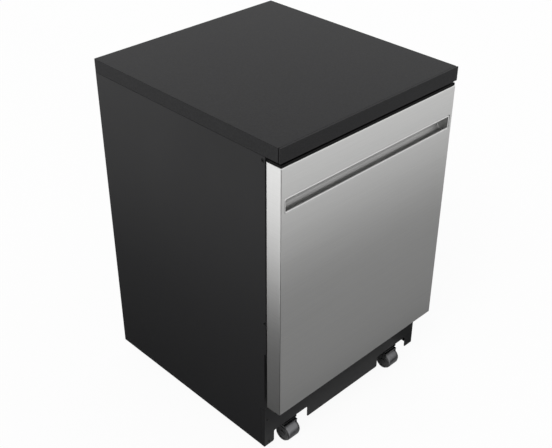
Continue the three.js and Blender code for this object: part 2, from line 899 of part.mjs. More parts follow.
function makeDrainPump() {
  const start = nozzleEnd + seat;
  const body = turned([
    [0, start],
    [drainRadius, start],
    [drainRadius, start + drainLength / 2],
    [drainRadius - 5, start + drainLength / 2],
    [drainRadius - 5, start + drainLength],
    [0, start + drainLength],
  ], 'y', [0, 0, 0], 20);
  const foot = block([-drainRadius / 2, drainRadius / 2], [start + 6, start + drainLength / 2],
    [panTop + seat - drainZ, -drainRadius / 2]);
  return join(body, foot);
}
place('drain_pump', makeDrainPump(), 'blackPlastic', cabinet, [0, sumpY, drainZ]);

function makeInletValve() {
  const body = wide(valveWidth / 2, [0, valveWidth - 8], [0, valveHeight]);
  const coil = bar(valveWidth / 4, 'z', [valveHeight - 1, valveHeight + 24],
    [0, valveWidth / 2 - 4, 0]);
  const inlet = bar(valveWidth / 5, 'y', [-14, 1], [0, 0, valveHeight / 2]);
  return join(body, coil, inlet);
}
place('inlet_valve', makeInletValve(), 'whitePlastic', cabinet,
  [-valveX, depth - valveInset, panTop + seat]);

// ---- Latch strike and hinge brackets -------------------------------------------------------
const strikeZ = [tongueZ - latchHalfHeight - eyePlay, tongueZ + latchHalfHeight + eyePlay];
const strike = cut(
  wide(latchHalfWidth, [linerBack + 6, tubFront - seat], strikeZ),
  wide(tongueHalfWidth + eyePlay, [0, tubBack],
    [tongueZ - tongueHeight / 2 - eyePlay, tongueZ + tongueHeight / 2 + eyePlay]),
);
place('latch_strike', strike, 'bareSteel');

function makeHingeBracket() {
  const mountBack = baseInset + baseSheet - seat;
  const mountFront = mountBack - bracketPlate;
  const plateX = [bracketX, bracketX + bracketPlate];
  const nose = bar(armHalf, 'x', plateX, [0, pivotInset, pivotZ], 20);
  const arm = block(plateX, [pivotInset, mountBack], [pivotZ - armHalf, pivotZ + armHalf]);
  const mountZ = [pivotZ - bracketDrop, pivotZ + bracketRise];
  const web = block(plateX, [kickInset + kickFlange + seat, mountBack], mountZ);
  const mount = block([bracketX, uprightInner + uprightWidth - 1],
    [mountFront, mountBack], mountZ);
  const pin = bar(pinRadius, 'x', [armX - armPlate / 2 - 3, bracketX + 1],
    [0, pivotInset, pivotZ], 16);
  return join(nose, arm, web, mount, pin);
}
placePair('hinge_bracket', makeHingeBracket(), 'bareSteel');

// ---- Door springs ----------------------------------------------------------------------------
function makeDoorSpring() {
  const low = panTop + springTabHeight + seat;
  const high = pivotZ - armHalf - seat;
  const hook = 3 * springWire;
  const steps = 8 * springCoils;
  const coil = Array.from({ length: steps + 1 }, (_, i) => {
    const angle = (2 * Math.PI * springCoils * i) / steps;
    const z = low + hook + ((high - low - 2 * hook) * i) / steps;
    return new THREE.Vector3(springRadius * Math.cos(angle), springRadius * Math.sin(angle), z);
  });
  const wireShape = new THREE.Shape();
  wireShape.absarc(0, 0, springWire, 0, 2 * Math.PI);
  const winding = solid(new THREE.ExtrudeGeometry(wireShape, {
    steps,
    curveSegments: 2,
    extrudePath: new THREE.CatmullRomCurve3(coil),
  }));
  const end = (from, to) => block([-springWire, springRadius + springWire],
    [-springWire, springWire], [from, to]);
  return join(winding, end(low, low + hook + springWire), end(high - hook - springWire, high));
}
for (const [side, sign] of Object.entries(sides)) {
  place(`door_spring_${side}`, makeDoorSpring(), 'bareSteel', cabinet,
    [sign * armX, pivotInset + springBack, 0]);
}

// ---- Door: outer panel -----------------------------------------------------------------------
const doorHalf = doorWidth / 2;
const doorInner = doorHalf - sheet;
const mouthX = [-pocketHalfWidth, pocketHalfWidth];
const mouthZ = [pocketBottom, pocketBottom + pocketHeight];
function makeOuterPanel() {
  const section = (halfWidth, front, radius) => {
    const shape = new THREE.Shape();
    shape.moveTo(halfWidth, linerBack);
    shape.lineTo(-halfWidth, linerBack);
    shape.absarc(radius - halfWidth, front + radius, radius, Math.PI, 1.5 * Math.PI);
    shape.absarc(halfWidth - radius, front + radius, radius, 1.5 * Math.PI, 2 * Math.PI);
    return shape;
  };
  const wrap = cut(
    raise(section(doorHalf, 0, doorBend), [doorBottom, doorTop]),
    raise(section(doorInner, sheet, doorBend - sheet), [doorBottom - 1, doorTop + 1]),
    wide(doorInner, [linerBack - 1, linerBack + 1], [doorBottom - 1, doorTop + 1]),
  );
  const folds = [
    wide(doorInner + 0.1, [sheet / 2, doorTopFlange], [doorTop - sheet, doorTop]),
    wide(doorInner + 0.1, [sheet / 2, doorBottomFlange], [doorBottom, doorBottom + sheet]),
  ];
  const hole = runBack(
    roundedRect(grown(mouthX, bezelWidth + seat), grown(mouthZ, bezelWidth + seat),
      pocketCorner + 1), [-1, 3 * sheet]);
  return cut(join(wrap, folds), hole);
}
place('door_outer_panel', makeOuterPanel(), 'brushedSteel', door);

// ---- Door: pocket handle ---------------------------------------------------------------------
const bezel = cut(
  runBack(roundedRect(grown(mouthX, bezelWidth), grown(mouthZ, bezelWidth), pocketCorner + 1),
    [0, bezelDepth]),
  runBack(roundedRect(mouthX, mouthZ, pocketCorner), [-1, bezelDepth + 1]),
);
place('handle_bezel', bezel, 'brushedSteel', door);

function makePocket() {
  const lipBack = bezelDepth + seat + pocketWall;
  const back = linerBack - linerSheet - 2 * seat;
  const profile = (grow, front) => {
    const floor = pocketBottom - pocketFloorDrop - grow;
    const roof = pocketBottom + pocketHeight + grow;
    const crest = roof + pocketLift;
    const rear = back - pocketWall + grow;
    return outline([
      [front, floor + pocketFloorDrop],
      [lipBack + 6, floor],
      [rear - 8, floor],
      [rear - 2, floor + 3],
      [rear, floor + 9],
      [rear, crest - 8],
      [rear - 6, crest],
      [lipBack + 6 - grow, crest],
      [lipBack + 6 - grow, roof],
      [front, roof],
    ]);
  };
  const lip = pocketBottom - pocketLip;
  const frame = runBack(
    roundedRect(grown(mouthX, pocketLip + 2), [lip, lip + pocketHeight + 2 * pocketLip],
      pocketCorner), [bezelDepth + seat, lipBack]);
  const shell = runAcross(profile(pocketWall, lipBack - 0.5), grown(mouthX, pocketWall));
  const hollow = runAcross(profile(0, bezelDepth - 1), mouthX);
  return cut(join(frame, shell), hollow);
}
place('handle_pocket', makePocket(), 'brushedSteel', door);

// ---- Door: liner -------------------------------------------------------------------------------
const linerFront = linerBack - linerSheet;
const raisedHalf = tubHalf - linerMargin;
const raisedZ = [tubFloor + linerMargin, tubCeiling - linerMargin];
const dispenserZ = [dispenserBottom, dispenserBottom + dispenserHeight];
const cupX = [cupLeft, cupLeft + cupWidth];
const cupZ = grown(dispenserZ, -dispenserRim);
function makeLiner() {
  const rim = wide(doorInner - seat, [linerFront, linerBack], [linerBottom, doorTop]);
  const raised = runBack(roundedRect([-raisedHalf, raisedHalf], raisedZ, linerCorner),
    [linerFront, linerFace]);
  const hollow = runBack(
    roundedRect(grown([-raisedHalf, raisedHalf], -linerSheet), grown(raisedZ, -linerSheet),
      linerCorner - linerSheet), [0, linerFace - linerSheet]);
  const cupHole = block(grown(cupX, moulding + seat), [linerFace - 5, linerFace + 5],
    grown(cupZ, moulding + seat));
  return cut(join(rim, raised), hollow, cupHole);
}
place('door_liner', makeLiner(), 'tubSteel', door);

// ---- Door: console and its buttons -------------------------------------------------------------
const buttonY = (consoleInset + linerFront) / 2;
const endButton = consoleHalfWidth - buttonEndInset;
const buttonPlaces = { power: -endButton, cycle: -70, options: -20, start: endButton };
const buttonHole = (x) => block(
  [x - buttonWidth / 2, x + buttonWidth / 2],
  [buttonY - buttonDepth / 2, buttonY + buttonDepth / 2],
  [capBottom - 1, capTop + 1],
);
function makeConsole() {
  const bodyBack = linerFront - seat;
  const cap = wide(doorInner, [capInset, linerBack], [capBottom, capTop]);
  const body = wide(consoleHalfWidth, [consoleInset, bodyBack],
    [capBottom - consoleDrop, capBottom + 1]);
  const hollow = wide(consoleHalfWidth - moulding, [consoleInset + moulding, bodyBack - moulding],
    [capBottom - consoleDrop + moulding, capBottom]);
  return cut(join(cap, body), hollow, Object.values(buttonPlaces).map(buttonHole));
}
place('control_console', makeConsole(), 'blackPlastic', door);

function makeButton() {
  const stemX = buttonWidth / 2 - buttonPlay;
  const stemY = buttonDepth / 2 - buttonPlay;
  const stem = wide(stemX, [-stemY, stemY], [-buttonStem, capThickness + buttonStand]);
  const lip = wide(stemX + buttonLip, [-stemY - buttonLip, stemY + buttonLip],
    [-seat - buttonLipHeight, -seat]);
  return join(stem, lip);
}
for (const [name, x] of Object.entries(buttonPlaces)) {
  place(`button_${name}`, makeButton(), 'greyPlastic', door, [x, buttonY, capBottom]);
}

// ---- Door: latch tongue and hinge arms --------------------------------------------------------
const tongue = join(
  wide(latchHalfWidth, [linerBack + seat, linerBack + seat + latchPlate],
    grown([tongueZ, tongueZ], doorTop - tongueZ - 0.2)),
  wide(tongueHalfWidth, [linerBack + seat, tubFront - 1],
    grown([tongueZ, tongueZ], tongueHeight / 2)),
);
place('door_latch', tongue, 'bareSteel', door);

function makeHingeArm() {
  const plateX = [armX - armPlate / 2, armX + armPlate / 2];
  const armBack = linerFront - seat;
  const upright = block(plateX, [pivotInset - armForward, armBack],
    [pivotZ - armHalf, pivotZ + armUp]);
  const tail = block(plateX, [pivotInset, pivotInset + armTail],
    [pivotZ - armHalf, pivotZ + armHalf]);
  const tab = block([armX - armTabWidth, armX], [armBack - armPlate, armBack],
    [linerBottom + seat, pivotZ + armUp]);
  const eye = bar(pinRadius + pinPlay, 'x', [armX - armPlate, armX + armPlate],
    [0, pivotInset, pivotZ], 16);
  return cut(join(upright, tail, tab), eye);
}
placePair('hinge_arm', makeHingeArm(), 'bareSteel', door);

// ---- Door: detergent dispenser ------------------------------------------------------------------
const dispenserFront = linerFace + seat;
const dispenserBack = dispenserFront + dispenserFlange;
const rinseZ = dispenserBottom + dispenserHeight / 2;
function makeDispenser() {
  const flange = block([-dispenserHalfWidth, dispenserHalfWidth],
    [dispenserFront, dispenserBack], dispenserZ);
  const cup = block(grown(cupX, moulding), [dispenserFront - cupDepth, dispenserFront + 0.5],
    grown(cupZ, moulding));
  const hollow = block(cupX, [dispenserFront - cupDepth + moulding, dispenserBack + 1], cupZ);
  const guides = [cupZ[0] - lidOverlap - 3, cupZ[1] + lidOverlap + 0.5].map((z) => block(
    [cupX[0] - lidOverlap, dispenserHalfWidth],
    [dispenserBack - 0.5, dispenserBack + lidThickness], [z, z + 2.5]));
  return cut(join(flange, cup, guides), hollow);
}
place('detergent_dispenser', makeDispenser(), 'greyPlastic', door);

const lid = block(
  [cupX[0] - lidOverlap, cupX[1] + lidOverlap],
  [dispenserBack + seat, dispenserBack + seat + lidThickness],
  grown(cupZ, lidOverlap),
);
place('detergent_lid', lid, 'whitePlastic', door);

const rinseCap = join(
  turned([[0, 0], [rinseRadius, 0], [rinseRadius, rinseHeight - 1], [rinseRadius - 1, rinseHeight],
    [0, rinseHeight]], 'y', [0, 0, 0], 20),
  block([-rinseRadius + 4, rinseRadius - 4], [rinseHeight - 1, rinseHeight + 3], [-2, 2]),
);
place('rinse_aid_cap', rinseCap, 'blackPlastic', door, [rinseX, dispenserBack + seat, rinseZ]);

// ---- Racks -----------------------------------------------------------------------------------------

// An open wire basket: floor wires both ways, each turned up into the walls, and two rims.
// The wires stand at whole millimetres.
function makeWireBasket(halfWidth, floor, rise, acrossCount, backCount) {
  const xs = spaced(-halfWidth, halfWidth, acrossCount).map(Math.round);
  const ys = spaced(rackFront + wire / 2, rackBack - wire / 2, backCount).map(Math.round);
  const [front, back] = [ys[0], ys.at(-1)];
  const top = floor + rise;
  const rods = [];
  for (const x of xs.slice(1, -1)) {
    rods.push(wireRod([x, front, floor], [x, back, floor], thinWire));
    rods.push(wireRod([x, front, floor], [x, front, top], thinWire));
    rods.push(wireRod([x, back, floor], [x, back, top], thinWire));
  }
  for (const y of ys.slice(1, -1)) {
    rods.push(wireRod([-halfWidth, y, floor], [halfWidth, y, floor], thinWire));
    rods.push(wireRod([-halfWidth, y, floor], [-halfWidth, y, top], thinWire));
    rods.push(wireRod([halfWidth, y, floor], [halfWidth, y, top], thinWire));
  }
  for (const x of [-halfWidth, halfWidth]) {
    for (const y of [front, back]) rods.push(wireRod([x, y, floor], [x, y, top], thinWire));
  }
  for (const z of [floor, top]) {
    rods.push(cut(
      wide(halfWidth + wire / 2, grown([front, back], wire / 2), grown([z, z], wire / 2)),
      wide(halfWidth - wire / 2, grown([front, back], -wire / 2), grown([z, z], wire)),
    ));
  }
  return { basket: join(rods), xs, ys };
}

function tineRows(xs, ys, floor, rise) {
  return xs.map((x) => ys.map((y) => wireRod([x, y, floor], [x, y, floor + rise], thinWire)));
}

const midway = (values) => values.slice(1).map((value, i) => (value + values[i]) / 2);

const rackWheelZ = tubFloor + seat + rackWheelRadius;
const rackWheelBore = rackAxle + axlePlay;
function makeLowerRack() {
  const { basket, xs, ys } = makeWireBasket(lowerRackHalf, lowerRackFloor, lowerRackHeight, 7, 7);
  const plateRows = tineRows(xs.slice(1, -1), midway(ys.slice(2, -1)), lowerRackFloor, lowerTine);
  const brackets = [rackWheelFront, rackWheelRear].flatMap((y) => {
    const inner = rackWheelX - rackWheelWidth / 2 - 1;
    const hanger = block([inner - 3, inner], [y - 9, y + 9], [rackWheelZ - 6, lowerRackFloor + 1]);
    const shelf = block([inner - 20, inner], [y - 9, y + 9],
      [lowerRackFloor - 1.5, lowerRackFloor + 1.5]);
    const axle = bar(rackAxle, 'x', [inner - 1, rackWheelX + rackWheelWidth / 2 + 2],
      [0, y, rackWheelZ], 12);
    const link = wireRod([inner - 20, y, lowerRackFloor], [lowerRackHalf, y, lowerRackFloor],
      thinWire);
    const right = join(hanger, shelf, axle, link);
    return [right, mirrored(right)];
  });
  return join(basket, plateRows.flat(), brackets);
}
place('lower_rack', makeLowerRack(), 'rackVinyl', lowerRack);

const rackWheel = turned([
  [rackWheelBore, -rackWheelWidth / 2],
  [rackWheelRadius, -rackWheelWidth / 2],
  [rackWheelRadius, rackWheelWidth / 2],
  [rackWheelBore, rackWheelWidth / 2],
  [rackWheelBore, -rackWheelWidth / 2],
], 'x', [0, 0, 0], 20);
for (const [side, sign] of Object.entries(sides)) {
  for (const [end, y] of Object.entries({ front: rackWheelFront, rear: rackWheelRear })) {
    place(`rack_wheel_${end}_${side}`, rackWheel, 'greyPlastic', lowerRack,
      [sign * rackWheelX, y, rackWheelZ]);
  }
}

function makeCutleryBasket() {
  const x = [-basketWidth / 2, basketWidth / 2];
  const y = [0, basketDepth];
  const shell = cut(
    block(x, y, [0, basketHeight]),
    block(grown(x, -moulding), grown(y, -moulding), [moulding, basketHeight + 1]),
  );
  const dividers = spaced(x[0], x[1], basketCells + 1).slice(1, -1).map((at) => block(
    [at - moulding / 2, at + moulding / 2], grown(y, -moulding / 2),
    [moulding / 2, basketHeight - 12]));
  const middle = basketDepth / 2;
  const post = (at) => block([at - 3, at + 3], [middle - 3, middle + 3],
    [moulding / 2, basketHeight + 34]);
  const grip = block([-42, 42], [middle - 3, middle + 3], [basketHeight + 28, basketHeight + 34]);
  const spine = block(grown(x, -moulding / 2), [middle - 1, middle + 1],
    [moulding / 2, basketHeight - 12]);
  return join(shell, dividers, spine, post(-39), post(39), grip);
}
place('cutlery_basket', makeCutleryBasket(), 'greyPlastic', lowerRack,
  [0, rackFront + wire + basketGap, lowerRackFloor + thinWire / 2 + seat]);

const runnerX = tubHalf - seat - railWidth;
const railChannel = [rackRailZ - rackRailHeight / 2, rackRailZ + rackRailHeight / 2];
const railBack = rackBack - 6;
const rackRail = cut(
  block([runnerX, tubHalf - seat], [tubFront + 8, railBack], railChannel),
  block([runnerX - 1, tubHalf - seat - railWall], [tubFront + 9, railBack - railWall],
    grown(railChannel, -railWall)),
  block([runnerX - 1, tubHalf - seat - railWall], [tubFront, tubFront + 12],
    grown(railChannel, -railWall)),
);
placePair('rack_rail', rackRail, 'bareSteel');

function makeUpperRack() {
  const { basket, xs, ys } = makeWireBasket(upperRackHalf, upperRackFloor, upperRackHeight, 7, 6);
  const cupRows = tineRows([xs[1], xs[2], xs[4], xs[5]], midway(ys.slice(0, -1)),
    upperRackFloor, upperTine);
  const runnerY = [rackFront + 6, railBack - railWall - 3];
  const headHalf = rackRailHeight / 2 - railWall - runnerPlay;
  const headX = [runnerX + 3, runnerX + 3 + runnerHead];
  const right = join(
    block([upperRackHalf - 1, headX[0] + 0.5], runnerY, [rackRailZ - 2, rackRailZ + 2]),
    block(headX, runnerY, [rackRailZ - headHalf, rackRailZ + headHalf]),
  );
  return join(basket, cupRows.flat(), right, mirrored(right));
}
place('upper_rack', makeUpperRack(), 'rackVinyl', upperRack);

// ---- Spray arms ------------------------------------------------------------------------------------
// A long flat arm with raked ends, its hub bored to turn on a spigot of the size given.
function makeSprayArm(reach, hubRise, bore, boreDepth) {
  const end = armWidth * 0.35;
  const blade = raise(outline([
    [-reach, -end],
    [-reach + 30, -armWidth / 2],
    [reach - 60, -end],
    [reach, -end / 2],
    [reach, end],
    [reach - 30, armWidth / 2],
    [-reach + 60, end],
    [-reach, end / 2],
  ]), [0, armThickness]);
  const hub = bar(armHub, 'z', [-hubRise, armThickness + 3], [0, 0, 0], 20);
  return cut(join(blade, hub), bar(bore, 'z', [-hubRise - 1, boreDepth], [0, 0, 0]));
}
const lowerArm = makeSprayArm(armReach, 0, spigotRadius + holePlay, spigotHeight + 1);
place('lower_spray_arm', lowerArm, 'greyPlastic', cabinet, [0, sumpY, riserTop + seat]);

const feedTop = upperRackFloor - wire / 2 - seat;
const feedZ = feedTop - feedRadius;
const upperHubTop = feedZ - feedRadius - moulding;
function makeUpperFeed() {
  const pipe = bar(feedRadius, 'y', [sumpY, tubBack - ductDepth - seat], [0, 0, feedZ], 12);
  const hub = bar(feedHub, 'z', [upperHubTop, feedTop], [0, sumpY, 0]);
  const spigot = bar(spigotRadius, 'z', [upperHubTop - spigotHeight, upperHubTop + 1],
    [0, sumpY, 0]);
  return join(pipe, hub, spigot);
}
place('upper_spray_feed', makeUpperFeed(), 'greyPlastic', upperRack);

const upperArm = makeSprayArm(upperArmReach, 0, spigotRadius + holePlay, spigotHeight + 1);
const upperArmMesh = place('upper_spray_arm', upperArm, 'greyPlastic', upperRack,
  [0, sumpY, upperHubTop - seat]);
upperArmMesh.rotation.y = Math.PI;

export default dishwasher;
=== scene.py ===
"""Portable dishwasher on casters: the shape and finish of its pieces."""

import math

import bmesh
import bpy
from mathutils import Euler, Matrix, Vector


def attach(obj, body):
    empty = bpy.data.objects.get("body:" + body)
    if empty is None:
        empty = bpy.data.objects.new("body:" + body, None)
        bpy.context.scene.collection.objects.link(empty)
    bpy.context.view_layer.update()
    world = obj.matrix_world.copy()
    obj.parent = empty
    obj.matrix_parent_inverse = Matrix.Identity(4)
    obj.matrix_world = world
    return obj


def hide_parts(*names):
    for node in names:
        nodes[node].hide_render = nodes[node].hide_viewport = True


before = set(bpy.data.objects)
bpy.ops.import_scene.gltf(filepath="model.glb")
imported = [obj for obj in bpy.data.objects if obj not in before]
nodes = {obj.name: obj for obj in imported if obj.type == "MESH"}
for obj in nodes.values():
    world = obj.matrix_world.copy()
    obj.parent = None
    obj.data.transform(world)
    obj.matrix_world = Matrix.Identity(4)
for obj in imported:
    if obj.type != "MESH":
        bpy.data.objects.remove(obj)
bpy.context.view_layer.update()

# ---- Camera --------------------------------------------------------------------------
# It stands in front of the left-hand corner and looks down at the worktop, where the
# photograph was taken from. Its place comes from the straight edges in the picture.
bpy.ops.object.camera_add(location=(-1.4834, -1.5179, 1.8403))
camera = bpy.context.object
aim = Euler((math.radians(90 - 32.951), 0, math.radians(-44.452))).to_matrix()
camera.rotation_euler = (aim @ Matrix.Rotation(math.radians(0.181), 3, "Z")).to_euler()
camera.data.sensor_width = 36
camera.data.lens = 60.25
camera.data.clip_end = 60
bpy.context.scene.camera = camera


# ---- Base frame ----------------------------------------------------------------------
# The tray that carries the tub, the pumps and the casters. It is folded from sheet steel,
# spot welded to its corner posts and powder coated black like the cabinet.
def colour(code):
    """An sRGB hex colour in the linear values that a shader takes."""
    parts = [int(code[i:i + 2], 16) / 255 for i in (1, 3, 5)]
    linear = [c / 12.92 if c <= 0.04045 else ((c + 0.055) / 1.055) ** 2.4 for c in parts]
    return (*linear, 1.0)


def add(made, kind, inputs={}, **settings):
    """Adds a node with its settings, its values and the links into it."""
    node = made.node_tree.nodes.new(kind)
    for name, value in settings.items():
        setattr(node, name, value)
    for socket, value in inputs.items():
        if isinstance(value, bpy.types.NodeSocket):
            made.node_tree.links.new(value, node.inputs[socket])
        else:
            node.inputs[socket].default_value = value
    return node


def finish_named(name, values):
    """A new material, with values on its surface shader's own sockets."""
    made = bpy.data.materials.new(name)
    made.use_nodes = True
    for socket, value in values.items():
        made.node_tree.nodes["Principled BSDF"].inputs[socket].default_value = value
    return made


def feed(made, socket, output):
    """Links an output into a socket of the surface shader."""
    shader = made.node_tree.nodes["Principled BSDF"]
    made.node_tree.links.new(output, shader.inputs[socket])


def only(piece):
    """Leaves this piece alone selected and active, in object mode."""
    if bpy.context.object and bpy.context.object.mode != "OBJECT":
        bpy.ops.object.mode_set(mode="OBJECT")
    bpy.ops.object.select_all(action="DESELECT")
    piece.select_set(True)
    bpy.context.view_layer.objects.active = piece


def modify(piece, kind, **settings):
    """Puts a modifier on a piece and applies it."""
    only(piece)
    modifier = piece.modifiers.new(kind, kind)
    for name, value in settings.items():
        setattr(modifier, name, value)
    bpy.ops.object.modifier_apply(modifier=modifier.name)


def shaded(piece, sharper_than=40):
    """Shades a piece's curves smooth and leaves its large flat faces looking flat."""
    only(piece)
    bpy.ops.object.shade_smooth_by_angle(angle=math.radians(sharper_than))
    modify(piece, "WEIGHTED_NORMAL", keep_sharp=True)


def rounded(piece, radius, segments=2):
    """Rounds a piece's sharp edges, in millimetres, and shades it."""
    modify(piece, "BEVEL", width=radius / 1000, segments=segments, limit_method="ANGLE",
           angle_limit=math.radians(30), miter_outer="MITER_ARC")
    shaded(piece)


def copy_of(node, name):
    """A copy of a solid as one clean shell with whole flat faces."""
    piece = bpy.data.objects.new(name, nodes[node].data.copy())
    bpy.context.scene.collection.objects.link(piece)
    only(piece)
    bpy.ops.mesh.customdata_custom_splitnormals_clear()
    bpy.ops.object.mode_set(mode="EDIT")
    bpy.ops.mesh.select_all(action="SELECT")
    bpy.ops.mesh.remove_doubles(threshold=1e-5)
    bpy.ops.mesh.dissolve_limited(angle_limit=math.radians(0.5))
    bpy.ops.object.mode_set(mode="OBJECT")
    return piece


def fit(piece, body, finish, slot, *stands_for):
    """Gives a piece its finish, its body to ride on, and the solids it stands for."""
    piece.data.materials.clear()
    piece.data.materials.append(finish)
    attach(piece, body)
    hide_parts(*stands_for)


# Black powder coat over sheet steel: satin, with the faint orange peel of a cured powder,
# about 2 mm from crest to crest and drawn at 5 mm so that it shows.
powder_coat = finish_named("black_powder_coat", {
    "Base Color": colour("#1d1d1e"), "Roughness": 0.42, "IOR": 1.5,
    "Specular IOR Level": 0.2})
place = add(powder_coat, "ShaderNodeTexCoord")
peel = add(powder_coat, "ShaderNodeTexNoise", {"Vector": place.outputs["Object"],
                                               "Scale": 200, "Detail": 2.0})
crests = add(powder_coat, "ShaderNodeBump", {"Height": peel.outputs["Fac"],
                                             "Strength": 0.1, "Distance": 0.0005})
feed(powder_coat, "Normal", crests.outputs["Normal"])
haze = add(powder_coat, "ShaderNodeTexNoise", {"Vector": place.outputs["Object"],
                                               "Scale": 6, "Detail": 3.0})
gloss = add(powder_coat, "ShaderNodeMapRange", {"Value": haze.outputs["Fac"],
                                                "To Min": 0.38, "To Max": 0.48})
feed(powder_coat, "Roughness", gloss.outputs["Result"])

base = copy_of("base_frame", "base_frame_folded")
rounded(base, 0.5)
fit(base, "cabinet", powder_coat, "cabinet_enamel", "base_frame")


# ---- Casters -------------------------------------------------------------------------
# Four 50 mm furniture casters. A black moulded fork with round cheeks holds a wheel with a
# grey thermoplastic tread on a black nylon hub; the front pair turn on a steel kingpin.
HALF_DEPTH = 329


def at(x, y, z):
    """A place in millimetres, with y measured back from the door's front, in metres."""
    return Vector((x, y - HALF_DEPTH, z)) / 1000


def turned(name, profile, axis, centre, steps):
    """Spins a profile of (radius, distance along the axis) points, in millimetres."""
    bpy.ops.object.select_all(action="DESELECT")
    shell = bpy.data.meshes.new(name)
    shell.from_pydata([(r / 1000, 0, h / 1000) for r, h in profile],
                      [(i, i + 1) for i in range(len(profile) - 1)], [])
    piece = bpy.data.objects.new(name, shell)
    bpy.context.scene.collection.objects.link(piece)
    only(piece)
    bpy.ops.object.mode_set(mode="EDIT")
    bpy.ops.mesh.select_all(action="SELECT")
    bpy.ops.mesh.spin(steps=steps, angle=2 * math.pi, center=(0, 0, 0), axis=(0, 0, 1))
    bpy.ops.mesh.select_all(action="SELECT")
    bpy.ops.mesh.remove_doubles(threshold=2e-6)
    bpy.ops.mesh.normals_make_consistent(inside=False)
    bpy.ops.object.mode_set(mode="OBJECT")
    piece.rotation_euler = {"x": (0, math.pi / 2, 0), "y": (-math.pi / 2, 0, 0)}[axis]
    piece.location = at(*centre)
    bpy.ops.object.transform_apply(location=True, rotation=True, scale=True)
    return piece


# Moulded ABS: satin black with a fine spark-eroded texture, 1.5 mm in the mould and drawn
# at 3 mm so that it shows.
black_abs = finish_named("moulded_black_abs", {
    "Base Color": colour("#171718"), "Roughness": 0.46, "IOR": 1.53,
    "Specular IOR Level": 0.4})
place = add(black_abs, "ShaderNodeTexCoord")
eroded = add(black_abs, "ShaderNodeTexNoise", {"Vector": place.outputs["Object"],
                                               "Scale": 330, "Detail": 3.0})
gloss = add(black_abs, "ShaderNodeMapRange", {"Value": eroded.outputs["Fac"],
                                              "To Min": 0.4, "To Max": 0.54})
feed(black_abs, "Roughness", gloss.outputs["Result"])
dents = add(black_abs, "ShaderNodeBump", {"Height": eroded.outputs["Fac"],
                                          "Strength": 0.12, "Distance": 0.0004})
feed(black_abs, "Normal", dents.outputs["Normal"])

# Thermoplastic rubber tread: smooth grey, with a painted sheen that makes it palest
# where it faces the eye and dark where it turns away, and with scuffs some 6 mm long.
tread_rubber = finish_named("grey_tread_rubber", {
    "Base Color": colour("#4a4a4c"), "Roughness": 0.3, "Specular IOR Level": 0.6})
place = add(tread_rubber, "ShaderNodeTexCoord")
scuffs = add(tread_rubber, "ShaderNodeTexNoise", {"Vector": place.outputs["Object"],
                                                  "Scale": 160, "Detail": 4.0})
facing = add(tread_rubber, "ShaderNodeLayerWeight", {"Blend": 0.5})
worn = add(tread_rubber, "ShaderNodeMapRange", {"Value": scuffs.outputs["Fac"],
                                                "To Min": -0.04, "To Max": 0.04})
tilt = add(tread_rubber, "ShaderNodeMath", {0: facing.outputs["Facing"],
                                            1: worn.outputs["Result"]}, operation="ADD")
# The base colour is a painted sheen: pale where the tread faces the eye, dark towards its
# edges, shifted a little by the scuffs.
shade = add(tread_rubber, "ShaderNodeValToRGB", {"Fac": tilt.outputs[0]})
shade.color_ramp.elements[0].position = 0.18
shade.color_ramp.elements[0].color = colour("#747476")
shade.color_ramp.elements[1].position = 0.37
shade.color_ramp.elements[1].color = colour("#222224")
feed(tread_rubber, "Base Color", shade.outputs["Color"])
gloss = add(tread_rubber, "ShaderNodeMapRange", {"Value": scuffs.outputs["Fac"],
                                                 "To Min": 0.24, "To Max": 0.4})
feed(tread_rubber, "Roughness", gloss.outputs["Result"])

# Glass filled nylon on the forks and hubs: a harder, glossier black than the ABS, with weak
# flow marks 20 mm long.
black_nylon = finish_named("moulded_black_nylon", {
    "Base Color": colour("#151516"), "Roughness": 0.26, "Specular IOR Level": 0.9})
place = add(black_nylon, "ShaderNodeTexCoord")
marks = add(black_nylon, "ShaderNodeTexNoise", {"Vector": place.outputs["Object"],
                                                "Scale": 50, "Detail": 2.0})
gloss = add(black_nylon, "ShaderNodeMapRange", {"Value": marks.outputs["Fac"],
                                                "To Min": 0.2, "To Max": 0.32})
feed(black_nylon, "Roughness", gloss.outputs["Result"])

# The wheel's section: the bore, the dished hub and the tread with its round shoulders.
WHEEL = [(4.3, -19.5), (9, -19.5), (9.6, -18.9), (9.6, -16), (18, -16), (18.6, -16.6),
         (18.6, -19), (19.2, -19.5), (22.6, -19.5), (24.2, -18.7), (24.8, -17.2),
         (25, -14), (25, 14), (24.8, 17.2), (24.2, 18.7), (22.6, 19.5), (19.2, 19.5),
         (18.6, 19), (18.6, 16.6), (18, 16), (9.6, 16), (9.6, 18.9), (9, 19.5),
         (4.3, 19.5), (4.3, -19.5)]
AXLE_HEIGHT, HUB_RADIUS = 25, 18.3
for end, y in (("front", 63.2), ("rear", 578)):
    for side, x in (("left", -207.5), ("right", 207.5)):
        axle = (x, y, AXLE_HEIGHT)
        wheel = turned(f"caster_wheel_{end}_{side}_turned", WHEEL, "x", axle, 56)
        bpy.ops.object.shade_smooth_by_angle(angle=math.radians(28))
        fit(wheel, f"wheel_{end}_{side}", tread_rubber, "tread",
            f"caster_wheel_{end}_{side}")
        wheel.data.materials.append(black_nylon)
        for face in wheel.data.polygons:
            off = (face.center - at(*axle)) * 1000
            face.material_index = int(math.hypot(off.y, off.z) < HUB_RADIUS)
        fork = copy_of(f"caster_fork_{end}_{side}", f"caster_fork_{end}_{side}_moulded")
        rounded(fork, 0.9, 3)
        rides = f"swivel_{side}" if end == "front" else "cabinet"
        fit(fork, rides, black_nylon, "black_plastic", f"caster_fork_{end}_{side}")


# ---- Kick plate ----------------------------------------------------------------------
# A strip of black powder coated sheet steel under the door, with a notch over each front
# caster. Two small screws at each end hold it to the base frame.

# Two places no further apart than this, in metres, are the same.
NEAR = 1e-5


